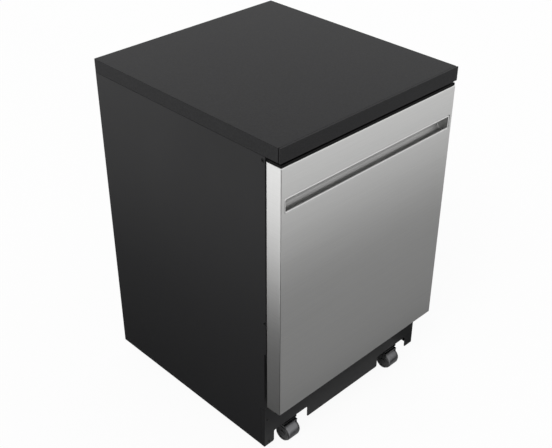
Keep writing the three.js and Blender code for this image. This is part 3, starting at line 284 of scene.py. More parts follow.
def pick(piece, kind, wanted):
    """In edit mode, selects only the vertices, edges or faces whose place passes a test."""
    bpy.ops.mesh.select_mode(type=kind)
    bpy.ops.mesh.select_all(action="DESELECT")
    shape = bmesh.from_edit_mesh(piece.data)
    for one in {"VERT": shape.verts, "EDGE": shape.edges, "FACE": shape.faces}[kind]:
        one.select_set(bool(wanted(one)))
    bmesh.update_edit_mesh(piece.data)


def middle(edge):
    """The middle of an edge."""
    return (edge.verts[0].co + edge.verts[1].co) / 2


def along(edge, axis):
    """Whether an edge runs along the axis numbered 0, 1 or 2."""
    run = (edge.verts[1].co - edge.verts[0].co).normalized()
    return abs(run[axis]) > 0.999


def folded(piece, radius, wanted):
    """Rounds the outside of the sheet's folds that a test picks, in millimetres."""
    only(piece)
    bpy.ops.object.mode_set(mode="EDIT")
    pick(piece, "EDGE", wanted)
    bpy.ops.mesh.bevel(offset=radius / 1000, segments=4, profile=0.5, affect="EDGES",
                       clamp_overlap=True)
    bpy.ops.object.mode_set(mode="OBJECT")


def screw(name, centre, axis, radius, body, finish):
    """A pan head screw with a round recess, which faces outwards along an axis."""
    head = [(0, -0.4), (0.94 * radius, -0.4), (radius, 0.1), (0.93 * radius, 0.9),
            (0.72 * radius, 1.35), (0.46 * radius, 1.45), (0.42 * radius, 0.5), (0, 0.4)]
    way = -1 if axis.startswith("-") else 1
    piece = turned(name, [(r, way * h) for r, h in head], axis[-1], centre, 24)
    bpy.ops.object.shade_smooth_by_angle(angle=math.radians(35))
    piece.data.materials.append(finish)
    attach(piece, body)


kick = copy_of("kick_plate", "kick_plate_folded")
KICK_FACE = 52.5
KICK_FRONT, KICK_FOOT, KICK_HEAD, KICK_END = at(0, KICK_FACE, 0).y, 0.036, 0.16, 0.3
# The low corners beside the notches are cut round. The sheet is folded back along its head
# and at both ends.
folded(kick, 5, lambda e: along(e, 1) and middle(e).z < KICK_FOOT
       and abs(middle(e).x) < KICK_END)
folded(kick, 1.6, lambda e: abs(middle(e).y - KICK_FRONT) < NEAR and (
    (along(e, 0) and middle(e).z > KICK_HEAD)
    or (along(e, 2) and abs(middle(e).x) > KICK_END)))
rounded(kick, 0.25)
fit(kick, "cabinet", powder_coat, "cabinet_enamel", "kick_plate")
for side, way in (("left", -1), ("right", 1)):
    for level, inset, z in (("upper", 293, 124), ("lower", 288, 45)):
        screw(f"kick_screw_{level}_{side}", (way * inset, KICK_FACE, z), "-y", 3.2,
              "cabinet", powder_coat)


# ---- Side panels ---------------------------------------------------------------------
# Each side is one sheet of powder coated steel, folded in all round. Its lower front edge
# stands back a step behind the door's foot, and one flush black screw holds its top front
# corner.
def joined(first, *others):
    """Joins pieces into the first one."""
    only(first)
    for piece in others:
        piece.select_set(True)
    bpy.ops.object.join()
    return first


def cut(piece, cutter):
    """Takes a cutter's shape out of a piece, and the cutter away."""
    modify(piece, "BOOLEAN", operation="DIFFERENCE", object=cutter, solver="EXACT")
    bpy.data.objects.remove(cutter)


def holed(piece, name, spots, axis, radius):
    """Cuts round holes through a sheet at places in millimetres."""
    cutters = [turned(name, [(0, -3), (radius, -3), (radius, 3), (0, 3)], axis, spot, 24)
               for spot in spots]
    cut(piece, joined(*cutters))
    shaded(piece)


# Black oxide on the steel screws: a dull near-black skin with oil-dark blotches 10 mm wide.
black_oxide = finish_named("black_oxide_steel", {
    "Base Color": colour("#0b0b0b"), "Roughness": 0.55, "Specular IOR Level": 0.2})
place = add(black_oxide, "ShaderNodeTexCoord")
blotch = add(black_oxide, "ShaderNodeTexNoise", {"Vector": place.outputs["Object"],
                                                 "Scale": 100, "Detail": 2.0})
shade = add(black_oxide, "ShaderNodeValToRGB", {"Fac": blotch.outputs["Fac"]})
shade.color_ramp.elements[0].color = colour("#080808")
shade.color_ramp.elements[1].color = colour("#101010")
feed(black_oxide, "Base Color", shade.outputs["Color"])

HALF_WIDTH = 305
CORNER_SCREW = (53, 891)
STEP_HEIGHT, STEP_DROP = 0.464, 0.11
for side, way in (("left", -1), ("right", 1)):
    panel = copy_of(f"side_panel_{side}", f"side_panel_{side}_folded")
    face, back = way * HALF_WIDTH / 1000, HALF_DEPTH / 1000
    folded(panel, 1.8, lambda e: abs(middle(e).x - face) < NEAR
           and not abs(middle(e).y - back) < NEAR)
    # The step in the front edge goes down to where the photograph shows it.
    bpy.ops.object.mode_set(mode="EDIT")
    pick(panel, "VERT", lambda v: abs(v.co.z - STEP_HEIGHT) < 0.004)
    bpy.ops.transform.translate(value=(0, 0, -STEP_DROP))
    bpy.ops.object.mode_set(mode="OBJECT")
    rounded(panel, 0.25)
    # The screw's hole at the corner, and a small open one halfway up the front edge.
    holed(panel, "side_hole", [(way * HALF_WIDTH, *CORNER_SCREW)], "x", 4.9)
    holed(panel, "small_hole", [(way * HALF_WIDTH, 49.6, 450)], "x", 3)
    fit(panel, "cabinet", powder_coat, "cabinet_enamel", f"side_panel_{side}")
    screw(f"side_screw_{side}", (way * (HALF_WIDTH - 1.6), *CORNER_SCREW),
          "x" if way > 0 else "-x", 4.6, "cabinet", black_oxide)


# ---- Rear panel ----------------------------------------------------------------------
# A flat sheet of the same black steel closes the back, with a rounded opening for the hose
# bay. Zinc plated screws sunk flush into the sheet run down both of its edges.

# Zinc plating, 8 micrometres, clear passivated: a pale grey metal with a soft cloudy
# spangle about 9 mm across and fine rolling scratches along the strip.
zinc = finish_named("zinc_plated_steel", {
    "Base Color": colour("#b4b7b9"), "Metallic": 1.0, "Roughness": 0.4})
place = add(zinc, "ShaderNodeTexCoord")
spangle = add(zinc, "ShaderNodeTexVoronoi", {"Vector": place.outputs["Object"], "Scale": 110})
shade = add(zinc, "ShaderNodeValToRGB", {"Fac": spangle.outputs["Color"]})
shade.color_ramp.elements[0].color = colour("#a7abae")
shade.color_ramp.elements[1].color = colour("#bfc1c2")
feed(zinc, "Base Color", shade.outputs["Color"])
rolled = add(zinc, "ShaderNodeMapping", {"Vector": place.outputs["Object"],
                                         "Scale": (40, 900, 900)})
scratch = add(zinc, "ShaderNodeTexNoise", {"Vector": rolled.outputs[0], "Scale": 1.0})
gloss = add(zinc, "ShaderNodeMapRange", {"Value": scratch.outputs["Fac"],
                                         "To Min": 0.32, "To Max": 0.5})
feed(zinc, "Roughness", gloss.outputs["Result"])

REAR_SCREWS = [(x, 2 * HALF_DEPTH, z) for x in (-289, 289)
               for z in (150, 330, 510, 690, 870)]
rear = copy_of("rear_panel", "rear_panel_cut")
rounded(rear, 0.3)
holed(rear, "rear_hole", REAR_SCREWS, "y", 3.9)
fit(rear, "cabinet", powder_coat, "cabinet_enamel", "rear_panel")
for i, (x, y, z) in enumerate(REAR_SCREWS):
    screw(f"rear_screw_{i + 1}", (x, y - 1.6, z), "y", 3.6, "cabinet", zinc)


# ---- Hose bay, coupling and cord bushing ---------------------------------------------
# The bay is a tray moulded in black plastic where the hoses and the cord are put away. The
# grey quick coupling has one spigot for filling and one for draining.

# Unpainted polypropylene: an even mid grey with faint flow marks 40 mm long, and a moulded
# grain under 1 mm, drawn at 2.5 mm so that it shows.
grey_pp = finish_named("moulded_grey_polypropylene", {
    "Base Color": colour("#8b8f94"), "Roughness": 0.44, "IOR": 1.49})
place = add(grey_pp, "ShaderNodeTexCoord")
flow = add(grey_pp, "ShaderNodeTexNoise", {"Vector": place.outputs["Object"],
                                           "Scale": 25, "Detail": 2.0})
shade = add(grey_pp, "ShaderNodeValToRGB", {"Fac": flow.outputs["Fac"]})
shade.color_ramp.elements[0].color = colour("#85898e")
shade.color_ramp.elements[1].color = colour("#92969b")
feed(grey_pp, "Base Color", shade.outputs["Color"])
grain = add(grey_pp, "ShaderNodeTexNoise", {"Vector": place.outputs["Object"],
                                            "Scale": 400, "Detail": 2.0})
dents = add(grey_pp, "ShaderNodeBump", {"Height": grain.outputs["Fac"],
                                        "Strength": 0.1, "Distance": 0.0003})
feed(grey_pp, "Normal", dents.outputs["Normal"])

bay = copy_of("hose_bay", "hose_bay_moulded")
rounded(bay, 0.8, 3)
fit(bay, "cabinet", black_abs, "black_plastic", "hose_bay")

plate = copy_of("hose_coupling", "hose_coupling_moulded")
rounded(plate, 1.0, 3)
fit(plate, "cabinet", grey_pp, "grey_plastic", "hose_coupling")

# EPDM rubber: matt black with a dry face and a grey bloom in patches 11 mm wide.
epdm = finish_named("black_epdm_rubber", {
    "Base Color": colour("#161616"), "Roughness": 0.78, "IOR": 1.52})
place = add(epdm, "ShaderNodeTexCoord")
bloom = add(epdm, "ShaderNodeTexNoise", {"Vector": place.outputs["Object"],
                                         "Scale": 90, "Detail": 4.0})
shade = add(epdm, "ShaderNodeValToRGB", {"Fac": bloom.outputs["Fac"]})
shade.color_ramp.elements[0].color = colour("#121212")
shade.color_ramp.elements[1].color = colour("#202020")
feed(epdm, "Base Color", shade.outputs["Color"])

bushing = copy_of("cord_bushing", "cord_bushing_moulded")
rounded(bushing, 0.6)
fit(bushing, "cabinet", epdm, "black_rubber", "cord_bushing")


# ---- Tub, front rail and gasket ------------------------------------------------------
# The tub is deep drawn from 0.5 mm stainless steel, bright and smooth, with a wide radius in
# every corner. A hollow black rubber gasket runs round its mouth under a folded rail.

# Bright annealed stainless: a soft mirror, broken by drawing clouds some 55 mm wide.
tub_steel = finish_named("bright_tub_stainless", {
    "Base Color": colour("#d3d4d4"), "Metallic": 1.0, "Roughness": 0.26})
place = add(tub_steel, "ShaderNodeTexCoord")
clouds = add(tub_steel, "ShaderNodeTexNoise", {"Vector": place.outputs["Object"],
                                               "Scale": 18, "Detail": 5.0})
gloss = add(tub_steel, "ShaderNodeMapRange", {"Value": clouds.outputs["Fac"],
                                              "To Min": 0.24, "To Max": 0.3})
feed(tub_steel, "Roughness", gloss.outputs["Result"])
drawn = add(tub_steel, "ShaderNodeBump", {"Height": clouds.outputs["Fac"],
                                          "Strength": 0.012, "Distance": 0.002})
feed(tub_steel, "Normal", drawn.outputs["Normal"])

tub = copy_of("tub", "tub_drawn")
rounded(tub, 0.4)
fit(tub, "cabinet", tub_steel, "tub_steel", "tub")

rail = copy_of("front_rail", "front_rail_folded")
rounded(rail, 0.5)
fit(rail, "cabinet", powder_coat, "cabinet_enamel", "front_rail")

gasket = copy_of("tub_gasket", "tub_gasket_moulded")
rounded(gasket, 3.0, 4)
fit(gasket, "cabinet", epdm, "black_rubber", "tub_gasket")


# ---- Sump, filter, heater and float --------------------------------------------------
# A grey plastic sump under the tub collects the water through a twist-out fine filter. A
# steel sheathed heating element loops round the spray arm, and a small float dome stops
# the water at the right level.
sump = copy_of("sump", "sump_moulded")
rounded(sump, 0.8)
fit(sump, "cabinet", grey_pp, "grey_plastic", "sump")

fine = copy_of("fine_filter", "fine_filter_moulded")
rounded(fine, 0.7)
fit(fine, "filter", grey_pp, "grey_plastic", "fine_filter")

dome = copy_of("float_dome", "float_dome_moulded")
rounded(dome, 0.6)
fit(dome, "float", grey_pp, "grey_plastic", "float_dome")

nodes["heater_element"].data.materials[0] = zinc


# ---- Pumps and inlet valve -----------------------------------------------------------
# The circulation pump, the drain pump and the water valve sit on the base pan under the
# tub, moulded in black and white plastic round their motors and coil.

# The same polypropylene in white, slightly warm, with the same fine grain.
white_pp = finish_named("moulded_white_polypropylene", {
    "Base Color": colour("#dededb"), "Roughness": 0.42, "IOR": 1.49})
place = add(white_pp, "ShaderNodeTexCoord")
grain = add(white_pp, "ShaderNodeTexNoise", {"Vector": place.outputs["Object"],
                                             "Scale": 400, "Detail": 2.0})
dents = add(white_pp, "ShaderNodeBump", {"Height": grain.outputs["Fac"],
                                         "Strength": 0.08, "Distance": 0.0003})
feed(white_pp, "Normal", dents.outputs["Normal"])

for node, finish, slot in (("wash_pump", black_abs, "black_plastic"),
                           ("drain_pump", black_abs, "black_plastic"),
                           ("inlet_valve", white_pp, "white_plastic")):
    housing = copy_of(node, f"{node}_housing")
    rounded(housing, 1.0, 3)
    fit(housing, "cabinet", finish, slot, node)


# ---- Latch strike, hinge brackets and door springs -----------------------------------
# Pressed and plated steel: the strike's eye over the tub's mouth, a bracket with its pin on
# each side of the door's foot, and a coil spring behind each that balances the door.
for node in ("latch_strike", "hinge_bracket_left", "hinge_bracket_right"):
    pressed = copy_of(node, f"{node}_pressed")
    rounded(pressed, 0.4)
    fit(pressed, "cabinet", zinc, "zinc_steel", node)
for side in ("left", "right"):
    nodes[f"door_spring_{side}"].data.materials[0] = zinc


# ---- Door skin -----------------------------------------------------------------------
# The outside of the door is one sheet of brushed stainless steel. It is folded back down
# both sides and turned in at the top and the foot, with a long slot cut for the handle.
def boxed(name, low, high):
    """A block between two corners, each a place in millimetres."""
    bpy.ops.object.select_all(action="DESELECT")
    low, high = at(*low), at(*high)
    bpy.ops.mesh.primitive_cube_add(size=1, location=(low + high) / 2)
    piece = bpy.context.object
    piece.name = name
    piece.scale = high - low
    bpy.ops.object.transform_apply(location=True, rotation=True, scale=True)
    return piece


def slit(point, normal):
    """In edit mode, cuts a line round the whole mesh where a plane crosses it."""
    bpy.ops.mesh.select_all(action="SELECT")
    bpy.ops.mesh.bisect(plane_co=point, plane_no=normal)


# Stainless steel, grade 430, with a long horizontal brushed grain. The lines are some
# 0.3 mm apart, drawn at 1.5 mm so that they show, and they stretch reflections upright.
brushed = finish_named("brushed_stainless", {
    "Base Color": colour("#dcdcdb"), "Metallic": 1.0, "Roughness": 0.3,
    "Anisotropic": 0.5})
place = add(brushed, "ShaderNodeTexCoord")
stretch = add(brushed, "ShaderNodeMapping", {"Vector": place.outputs["Object"],
                                             "Scale": (5, 5, 650)})
lines = add(brushed, "ShaderNodeTexNoise", {"Vector": stretch.outputs[0], "Scale": 1.0,
                                            "Detail": 5.0, "Roughness": 0.7})
shade = add(brushed, "ShaderNodeValToRGB", {"Fac": lines.outputs["Fac"]})
shade.color_ramp.elements[0].color = colour("#d2d2d1")
shade.color_ramp.elements[1].color = colour("#e4e4e3")
feed(brushed, "Base Color", shade.outputs["Color"])
gloss = add(brushed, "ShaderNodeMapRange", {"Value": lines.outputs["Fac"],
                                            "To Min": 0.24, "To Max": 0.38})
feed(brushed, "Roughness", gloss.outputs["Result"])
turn = add(brushed, "ShaderNodeTangent", direction_type="RADIAL", axis="Z")
feed(brushed, "Tangent", turn.outputs["Tangent"])

# A box without its back, whose head and foot end a short way in, is bent at every corner
# and then given the sheet's thickness.
DOOR_SIDE, HEAD_RETURN, FOOT_RETURN = 302.3, 14, 15.8
skin = boxed("door_skin", (-DOOR_SIDE, 0, 182), (DOOR_SIDE, 44.6, 889.5))
bpy.ops.object.mode_set(mode="EDIT")
for back in (HEAD_RETURN, FOOT_RETURN):
    slit(at(0, back, 0), (0, 1, 0))
pick(skin, "FACE", lambda f: f.normal.y > 0.9
     or (f.normal.z > 0.9 and f.calc_center_median().y > at(0, HEAD_RETURN, 0).y)
     or (f.normal.z < -0.9 and f.calc_center_median().y > at(0, FOOT_RETURN, 0).y))
bpy.ops.mesh.delete(type="FACE")
DOOR_FRONT = at(0, 0, 0).y
pick(skin, "EDGE", lambda e: not e.is_boundary and (
    abs(middle(e).y - DOOR_FRONT) < NEAR or (along(e, 1) and abs(middle(e).x) > 0.302)))
bpy.ops.mesh.bevel(offset=0.0024, segments=6, profile=0.5, affect="EDGES")
bpy.ops.object.mode_set(mode="OBJECT")
modify(skin, "SOLIDIFY", thickness=0.0011, offset=-1, use_even_offset=True)
slot_cutter = boxed("slot_cutter", (-292.3, -10, 773.7), (292.3, 10, 812.9))
bpy.ops.object.mode_set(mode="EDIT")
pick(slot_cutter, "EDGE", lambda e: along(e, 1))
bpy.ops.mesh.bevel(offset=0.004, segments=5, affect="EDGES")
bpy.ops.object.mode_set(mode="OBJECT")
cut(skin, slot_cutter)
shaded(skin, 30)
fit(skin, "door", brushed, "door_steel", "door_outer_panel")


# ---- Pocket handle -------------------------------------------------------------------
# A pocket pressed from one sheet sits behind the slot: its floor sinks behind the lip, and
# its roof hooks up behind the door for the fingers. A half-round bead trims its mouth.
def bent(points, radius, steps=5):
    """A wire's line through points in millimetres, with its corners bent to a radius."""
    line = [Vector(points[0])]
    for before, corner, after in zip(points, points[1:], points[2:]):
        before, corner, after = Vector(before), Vector(corner), Vector(after)
        start = corner + (before - corner).normalized() * radius
        end = corner + (after - corner).normalized() * radius
        for i in range(steps + 1):
            t = i / steps
            line.append(start * (1 - t) ** 2 + corner * 2 * t * (1 - t) + end * t ** 2)
    line.append(Vector(points[-1]))
    return line


def wired(name, lines, radius, closed=False, sides=2):
    """Round wires of one thickness along lines in millimetres, as one mesh."""
    bpy.ops.object.select_all(action="DESELECT")
    path = bpy.data.curves.new(name, "CURVE")
    path.dimensions = "3D"
    path.bevel_depth = radius / 1000
    path.bevel_resolution = sides
    path.use_fill_caps = True
    for line in lines:
        spline = path.splines.new("POLY")
        spline.points.add(len(line) - 1)
        spline.use_cyclic_u = closed
        for point, spot in zip(spline.points, line):
            point.co = (*at(*spot), 1)
    piece = bpy.data.objects.new(name, path)
    bpy.context.scene.collection.objects.link(piece)
    only(piece)
    bpy.ops.object.convert(target="MESH")
    piece = bpy.context.object
    bpy.ops.object.shade_smooth_by_angle(angle=math.radians(50))
    return piece


# The bead follows the slot's rim. It is drawn as a round wire and then pressed flat.
BEAD_DEPTH = 1.6
rim = [(x, BEAD_DEPTH, z) for x, z in ((0, 774.5), (289.5, 774.5), (289.5, 809.5),
                                       (-289.5, 809.5), (-289.5, 774.5), (0, 774.5))]
bezel = wired("handle_bezel_bead", [bent(rim, 5)[:-1]], 2.5, closed=True, sides=8)
bpy.ops.object.mode_set(mode="EDIT")
bpy.ops.mesh.select_all(action="SELECT")
bpy.ops.transform.resize(value=(1, 0.6, 1), center_override=at(0, BEAD_DEPTH, 0))
bpy.ops.object.mode_set(mode="OBJECT")
fit(bezel, "door", brushed, "door_steel", "handle_bezel")

# The same stainless steel, pickled and left dull: no grain, and an even frosted sheen with
# faint clouds some 40 mm across.
dull_steel = finish_named("dull_pickled_stainless", {
    "Base Color": colour("#b2b2b1"), "Metallic": 0.92, "Roughness": 0.45})
place = add(dull_steel, "ShaderNodeTexCoord")
clouds = add(dull_steel, "ShaderNodeTexNoise", {"Vector": place.outputs["Object"],
                                                "Scale": 25, "Detail": 3.0})
gloss = add(dull_steel, "ShaderNodeMapRange", {"Value": clouds.outputs["Fac"],
                                               "To Min": 0.4, "To Max": 0.5})
feed(dull_steel, "Roughness", gloss.outputs["Result"])

# The pocket's section from the lip of its floor round to its roof, depth by height.
POCKET_END = 287
SECTION = [(3.3, 777), (6, 774), (10, 769.5), (17, 767), (24, 769), (30, 775), (33, 784),
           (34, 796), (34, 811), (29, 818.4), (15, 818.4), (11, 814), (11, 807.4), (3.3, 807)]
shell = bpy.data.meshes.new("handle_pocket_pressed")
shell.from_pydata([at(-POCKET_END, y, z) for y, z in SECTION],
                  [(i, i + 1) for i in range(len(SECTION) - 1)], [])
pocket = bpy.data.objects.new("handle_pocket_pressed", shell)
bpy.context.scene.collection.objects.link(pocket)
only(pocket)
bpy.ops.object.mode_set(mode="EDIT")
bpy.ops.mesh.select_all(action="SELECT")
bpy.ops.mesh.extrude_region_move(
    TRANSFORM_OT_translate={"value": (2 * POCKET_END / 1000, 0, 0)})
for end in (-POCKET_END / 1000, POCKET_END / 1000):
    pick(pocket, "VERT", lambda v: abs(v.co.x - end) < NEAR)
    bpy.ops.mesh.edge_face_add()
bpy.ops.mesh.select_all(action="SELECT")
bpy.ops.mesh.normals_make_consistent(inside=True)
pick(pocket, "EDGE", lambda e: not e.is_boundary)
bpy.ops.mesh.bevel(offset=0.0025, segments=4, profile=0.5, affect="EDGES")
bpy.ops.object.mode_set(mode="OBJECT")
modify(pocket, "SOLIDIFY", thickness=0.0008, offset=-1)
bpy.ops.object.shade_smooth_by_angle(angle=math.radians(50))
fit(pocket, "door", dull_steel, "door_steel", "handle_pocket")


# ---- Door liner ----------------------------------------------------------------------
# The wet side of the door is a bright stainless pressing. Its raised middle fits inside
# the gasket, and it has an opening for the dispenser.
liner = copy_of("door_liner", "door_liner_pressed")
rounded(liner, 0.6)
fit(liner, "door", tub_steel, "tub_steel", "door_liner")


# ---- Dispenser -----------------------------------------------------------------------
# A grey moulding in the liner holds the detergent under a white lid that slides aside, and
# the rinse aid behind a black quarter-turn cap.
for node, body, finish, slot in (
        ("detergent_dispenser", "door", grey_pp, "grey_plastic"),
        ("detergent_lid", "soap_lid", white_pp, "white_plastic"),
        ("rinse_aid_cap", "rinse_cap", black_abs, "black_plastic")):
    moulded = copy_of(node, f"{node}_moulded")
    rounded(moulded, 0.6, 3)
    fit(moulded, body, finish, slot, node)


# ---- Console and buttons -------------------------------------------------------------
# The controls are hidden on the door's top edge: a black moulded strip with four grey
# push buttons, which show when the door is down.

# Matt black ABS: almost no sheen, with a moulded grain drawn at 2.5 mm so that it shows.
# Partly its own black and partly painted shade: it is darker than the other black plastics,
# for the deep gap under the worktop.
matt_black = finish_named("matt_black_console_abs", {
    "Base Color": colour("#0a0a0a"), "Roughness": 0.62, "Specular IOR Level": 0.12})
place = add(matt_black, "ShaderNodeTexCoord")
grain = add(matt_black, "ShaderNodeTexNoise", {"Vector": place.outputs["Object"],
                                               "Scale": 400, "Detail": 2.0})
dents = add(matt_black, "ShaderNodeBump", {"Height": grain.outputs["Fac"],
                                           "Strength": 0.15, "Distance": 0.0003})
feed(matt_black, "Normal", dents.outputs["Normal"])

console = copy_of("control_console", "control_console_moulded")
rounded(console, 0.6, 3)
fit(console, "door", matt_black, "black_plastic", "control_console")
for name in ("power", "cycle", "options", "start"):
    button = copy_of(f"button_{name}", f"button_{name}_moulded")
    rounded(button, 0.5, 3)
    fit(button, f"{name}_button", grey_pp, "grey_plastic", f"button_{name}")


# ---- Door latch and hinge arms -------------------------------------------------------
# The latch tongue and the two hinge arms are stamped from sheet steel and zinc plated. They
# are riveted to the liner's rim, the tongue at its head and the arms at its foot.
for node in ("door_latch", "hinge_arm_left", "hinge_arm_right"):
    plated = copy_of(node, f"{node}_plated")
    rounded(plated, 0.4)
    fit(plated, "door", zinc, "zinc_steel", node)


# ---- Racks ---------------------------------------------------------------------------
# Both racks are welded from steel wire and dipped in grey vinyl, 3 mm wires in 4 mm rims.
# Rows of tines stand up from the floor for plates below and for cups above.

# Vinyl dip: an even mid grey coat 0.4 mm thick, satin, with faint paler runs 17 mm apart.
vinyl = finish_named("grey_vinyl_dip", {
    "Base Color": colour("#a3a7ac"), "Roughness": 0.36, "IOR": 1.53})
place = add(vinyl, "ShaderNodeTexCoord")
runs = add(vinyl, "ShaderNodeTexNoise", {"Vector": place.outputs["Object"], "Scale": 60,
                                         "Detail": 2.0})
shade = add(vinyl, "ShaderNodeValToRGB", {"Fac": runs.outputs["Fac"]})
shade.color_ramp.elements[0].color = colour("#9a9ea3")
shade.color_ramp.elements[1].color = colour("#acb0b5")
feed(vinyl, "Base Color", shade.outputs["Color"])


def bar(name, way, xs, ys, zs, radius=0.8, segments=2):
    """A flat bar with rounded edges, on the left for way -1 or on the right for way 1."""
    near, far = sorted(way * x for x in xs)
    piece = boxed(name, (near, ys[0], zs[0]), (far, ys[1], zs[1]))
    rounded(piece, radius, segments)
    return piece


def basket_wires(name, half, floor, rise, xs, ys):
    """The floor and wall wires and the two rims of a rack, in millimetres."""
    top, front, back = floor + rise, ys[0], ys[-1]
    thin = [bent([(x, front, top), (x, front, floor), (x, back, floor), (x, back, top)], 9)
            for x in xs[1:-1]]
    thin += [bent([(-half, y, top), (-half, y, floor), (half, y, floor), (half, y, top)], 9)
             for y in ys[1:-1]]
    rims = []
    for z in (floor, top):
        loop = [(0, front, z), (half, front, z), (half, back, z), (-half, back, z),
                (-half, front, z), (0, front, z)]
        rims.append(bent(loop, 12)[:-1])
    corners = [[(x, y, floor), (x, y, top)] for x in (-half + 3, half - 3)
               for y in (front + 3, back - 3)]
    return joined(wired(name, thin + corners, WIRE), wired(name + "_rims", rims, 2, True))


WIRE = 1.5
LOWER_FLOOR, AXLE_LEVEL, ROLLER_SPOTS = 280, 248.3, (190, 500)
LOWER_X = [-240, -200, -160, -120, -80, -40, 0, 40, 80, 120, 160, 200, 240]
LOWER_Y = [105, 143, 181, 220, 258, 296, 334, 372, 410, 448.5, 487, 525, 563]
lower = basket_wires("lower_rack_wires", 240, LOWER_FLOOR, 175, LOWER_X, LOWER_Y)
tines = wired("lower_tines", [[(x, y, LOWER_FLOOR), (x, y, 368)]
                              for x in (-160, -80, 0, 80, 160)
                              for y in (258, 296, 334, 372, 410, 448.5)], WIRE)
# Under each side hang two flat straps, each with a shelf to the wires and a wheel's axle.
hangers = []
for way in (-1, 1):
    for y in ROLLER_SPOTS:
        width = (y - 9, y + 9)
        strap = bar("strap", way, (204, 207), width, (242.3, 281))
        shelf = bar("shelf", way, (187, 207), width, (278.5, 281.5))
        axle = wired("axle", [[(way * 206, y, AXLE_LEVEL), (way * 220, y, AXLE_LEVEL)]], 3,
                     sides=4)
        link = wired("link", [[(way * 187, y, LOWER_FLOOR), (way * 240, y, LOWER_FLOOR)]],
                     WIRE)
        hangers += [strap, shelf, axle, link]
lower = joined(lower, tines, *hangers)
fit(lower, "lower_rack", vinyl, "rack_vinyl", "lower_rack")

# The rack wheel's section: the hub, a thin web and the rim.
RACK_WHEEL = [(3.3, -5), (5.5, -5), (6, -4.5), (6, -2.5), (11, -2.5), (11.6, -5),
              (14.4, -5), (15, -4.4), (15, 4.4), (14.4, 5), (11.6, 5), (11, 2.5),
              (6, 2.5), (6, 4.5), (5.5, 5), (3.3, 5), (3.3, -5)]
for end, y in zip(("front", "rear"), ROLLER_SPOTS):
    for side, x in (("left", -213), ("right", 213)):
        roller = turned(f"rack_wheel_{end}_{side}_turned", RACK_WHEEL, "x",
                        (x, y, AXLE_LEVEL), 36)
        bpy.ops.object.shade_smooth_by_angle(angle=math.radians(30))
        fit(roller, f"rack_wheel_{end}_{side}", grey_pp, "grey_plastic",
            f"rack_wheel_{end}_{side}")

UPPER_FLOOR = 592
UPPER_X = [-230, -192, -153, -115, -77, -38, 0, 38, 77, 115, 153, 192, 230]
UPPER_Y = [105, 151, 197, 242.5, 288, 334, 380, 425.5, 471, 517, 563]
upper = basket_wires("upper_rack_wires", 230, UPPER_FLOOR, 105, UPPER_X, UPPER_Y)
cups = wired("upper_tines", [[(x, y, UPPER_FLOOR), (x, y, 644)]
                             for x in (-153, -77, 77, 153)
                             for y in (151, 197, 242.5, 288, 334, 380, 425.5)], WIRE)
# A flat arm on each side reaches out to the runner that slides in the rail.
RUNNER_REACH = (109, 554.5)
runners = []
for way in (-1, 1):
    arm = bar("runner_arm", way, (229, 250.2), RUNNER_REACH, (646, 650))
    head = bar("runner_head", way, (249.7, 255.7), RUNNER_REACH, (638, 658), 1.2, 3)
    runners += [arm, head]
upper = joined(upper, cups, *runners)
fit(upper, "upper_rack", vinyl, "rack_vinyl", "upper_rack")

for side in ("left", "right"):
    channel = copy_of(f"rack_rail_{side}", f"rack_rail_{side}_rolled")
    rounded(channel, 0.5)
    fit(channel, "cabinet", zinc, "zinc_steel", f"rack_rail_{side}")


# ---- Cutlery basket ------------------------------------------------------------------
# A grey plastic basket with lattice walls stands at the front of the lower rack, with five
# pairs of cells and a bridge to carry it by.
cutlery = copy_of("cutlery_basket", "cutlery_basket_moulded")
rounded(cutlery, 0.5)
fit(cutlery, "lower_rack", grey_pp, "grey_plastic", "cutlery_basket")


# ---- Spray arms ----------------------------------------------------------------------
# Each arm is welded from two grey mouldings, flat and tapered, with jets along both
# leading edges, and spins on its spigot. A pipe feeds the upper one under its rack.
for node, body in (("lower_spray_arm", "lower_arm"), ("upper_spray_arm", "upper_arm"),
                   ("upper_spray_feed", "upper_rack")):
    hollow = copy_of(node, f"{node}_moulded")
    rounded(hollow, 1.6, 3)
    fit(hollow, body, grey_pp, "grey_plastic", node)


# ---- Worktop -------------------------------------------------------------------------
# A 36 mm board faced with charcoal laminate. The same laminate on a 6 mm lipping closes its
# front edge, and a groove shows the seam at both ends.

# High pressure laminate, pebbled 1 mm apart and drawn at 3.6 mm so that it shows: a dull
# charcoal, with painted highlight on the crests and painted shade in the dips.
laminate = finish_named("charcoal_laminate", {
    "Base Color": colour("#222223"), "Roughness": 0.5, "IOR": 1.5,
    "Specular IOR Level": 0.13})
place = add(laminate, "ShaderNodeTexCoord")
pebble = add(laminate, "ShaderNodeTexNoise", {"Vector": place.outputs["Object"],
                                              "Scale": 280, "Detail": 3.0})
# Lighter on the crests and darker in the dips: painted highlight and shade.
shade = add(laminate, "ShaderNodeValToRGB", {"Fac": pebble.outputs["Fac"]})
shade.color_ramp.elements[0].position = 0.35
shade.color_ramp.elements[0].color = colour("#1e1e1f")
shade.color_ramp.elements[1].position = 0.7
shade.color_ramp.elements[1].color = colour("#282829")
feed(laminate, "Base Color", shade.outputs["Color"])
dents = add(laminate, "ShaderNodeBump", {"Height": pebble.outputs["Fac"],
                                         "Strength": 0.15, "Distance": 0.0004})
feed(laminate, "Normal", dents.outputs["Normal"])

for node, name, front, back in (
        ("countertop", "worktop_board", 6.1, 2 * HALF_DEPTH),
        ("countertop_front_trim", "worktop_lipping", 0, 5.8)):
    board = boxed(name, (-HALF_WIDTH, front, 901.7), (HALF_WIDTH, back, 938))
    bpy.ops.object.mode_set(mode="EDIT")
    pick(board, "EDGE", lambda e: True)
    bpy.ops.mesh.bevel(offset=0.0006, segments=3, affect="EDGES")
    bpy.ops.object.mode_set(mode="OBJECT")
    cut(board, joined(*[boxed("groove", (x - 3, 4.4, 895), (x + 3, 7.2, 945))
                        for x in (-HALF_WIDTH, HALF_WIDTH)]))
    shaded(board)
    fit(board, "cabinet", laminate, "worktop", node)
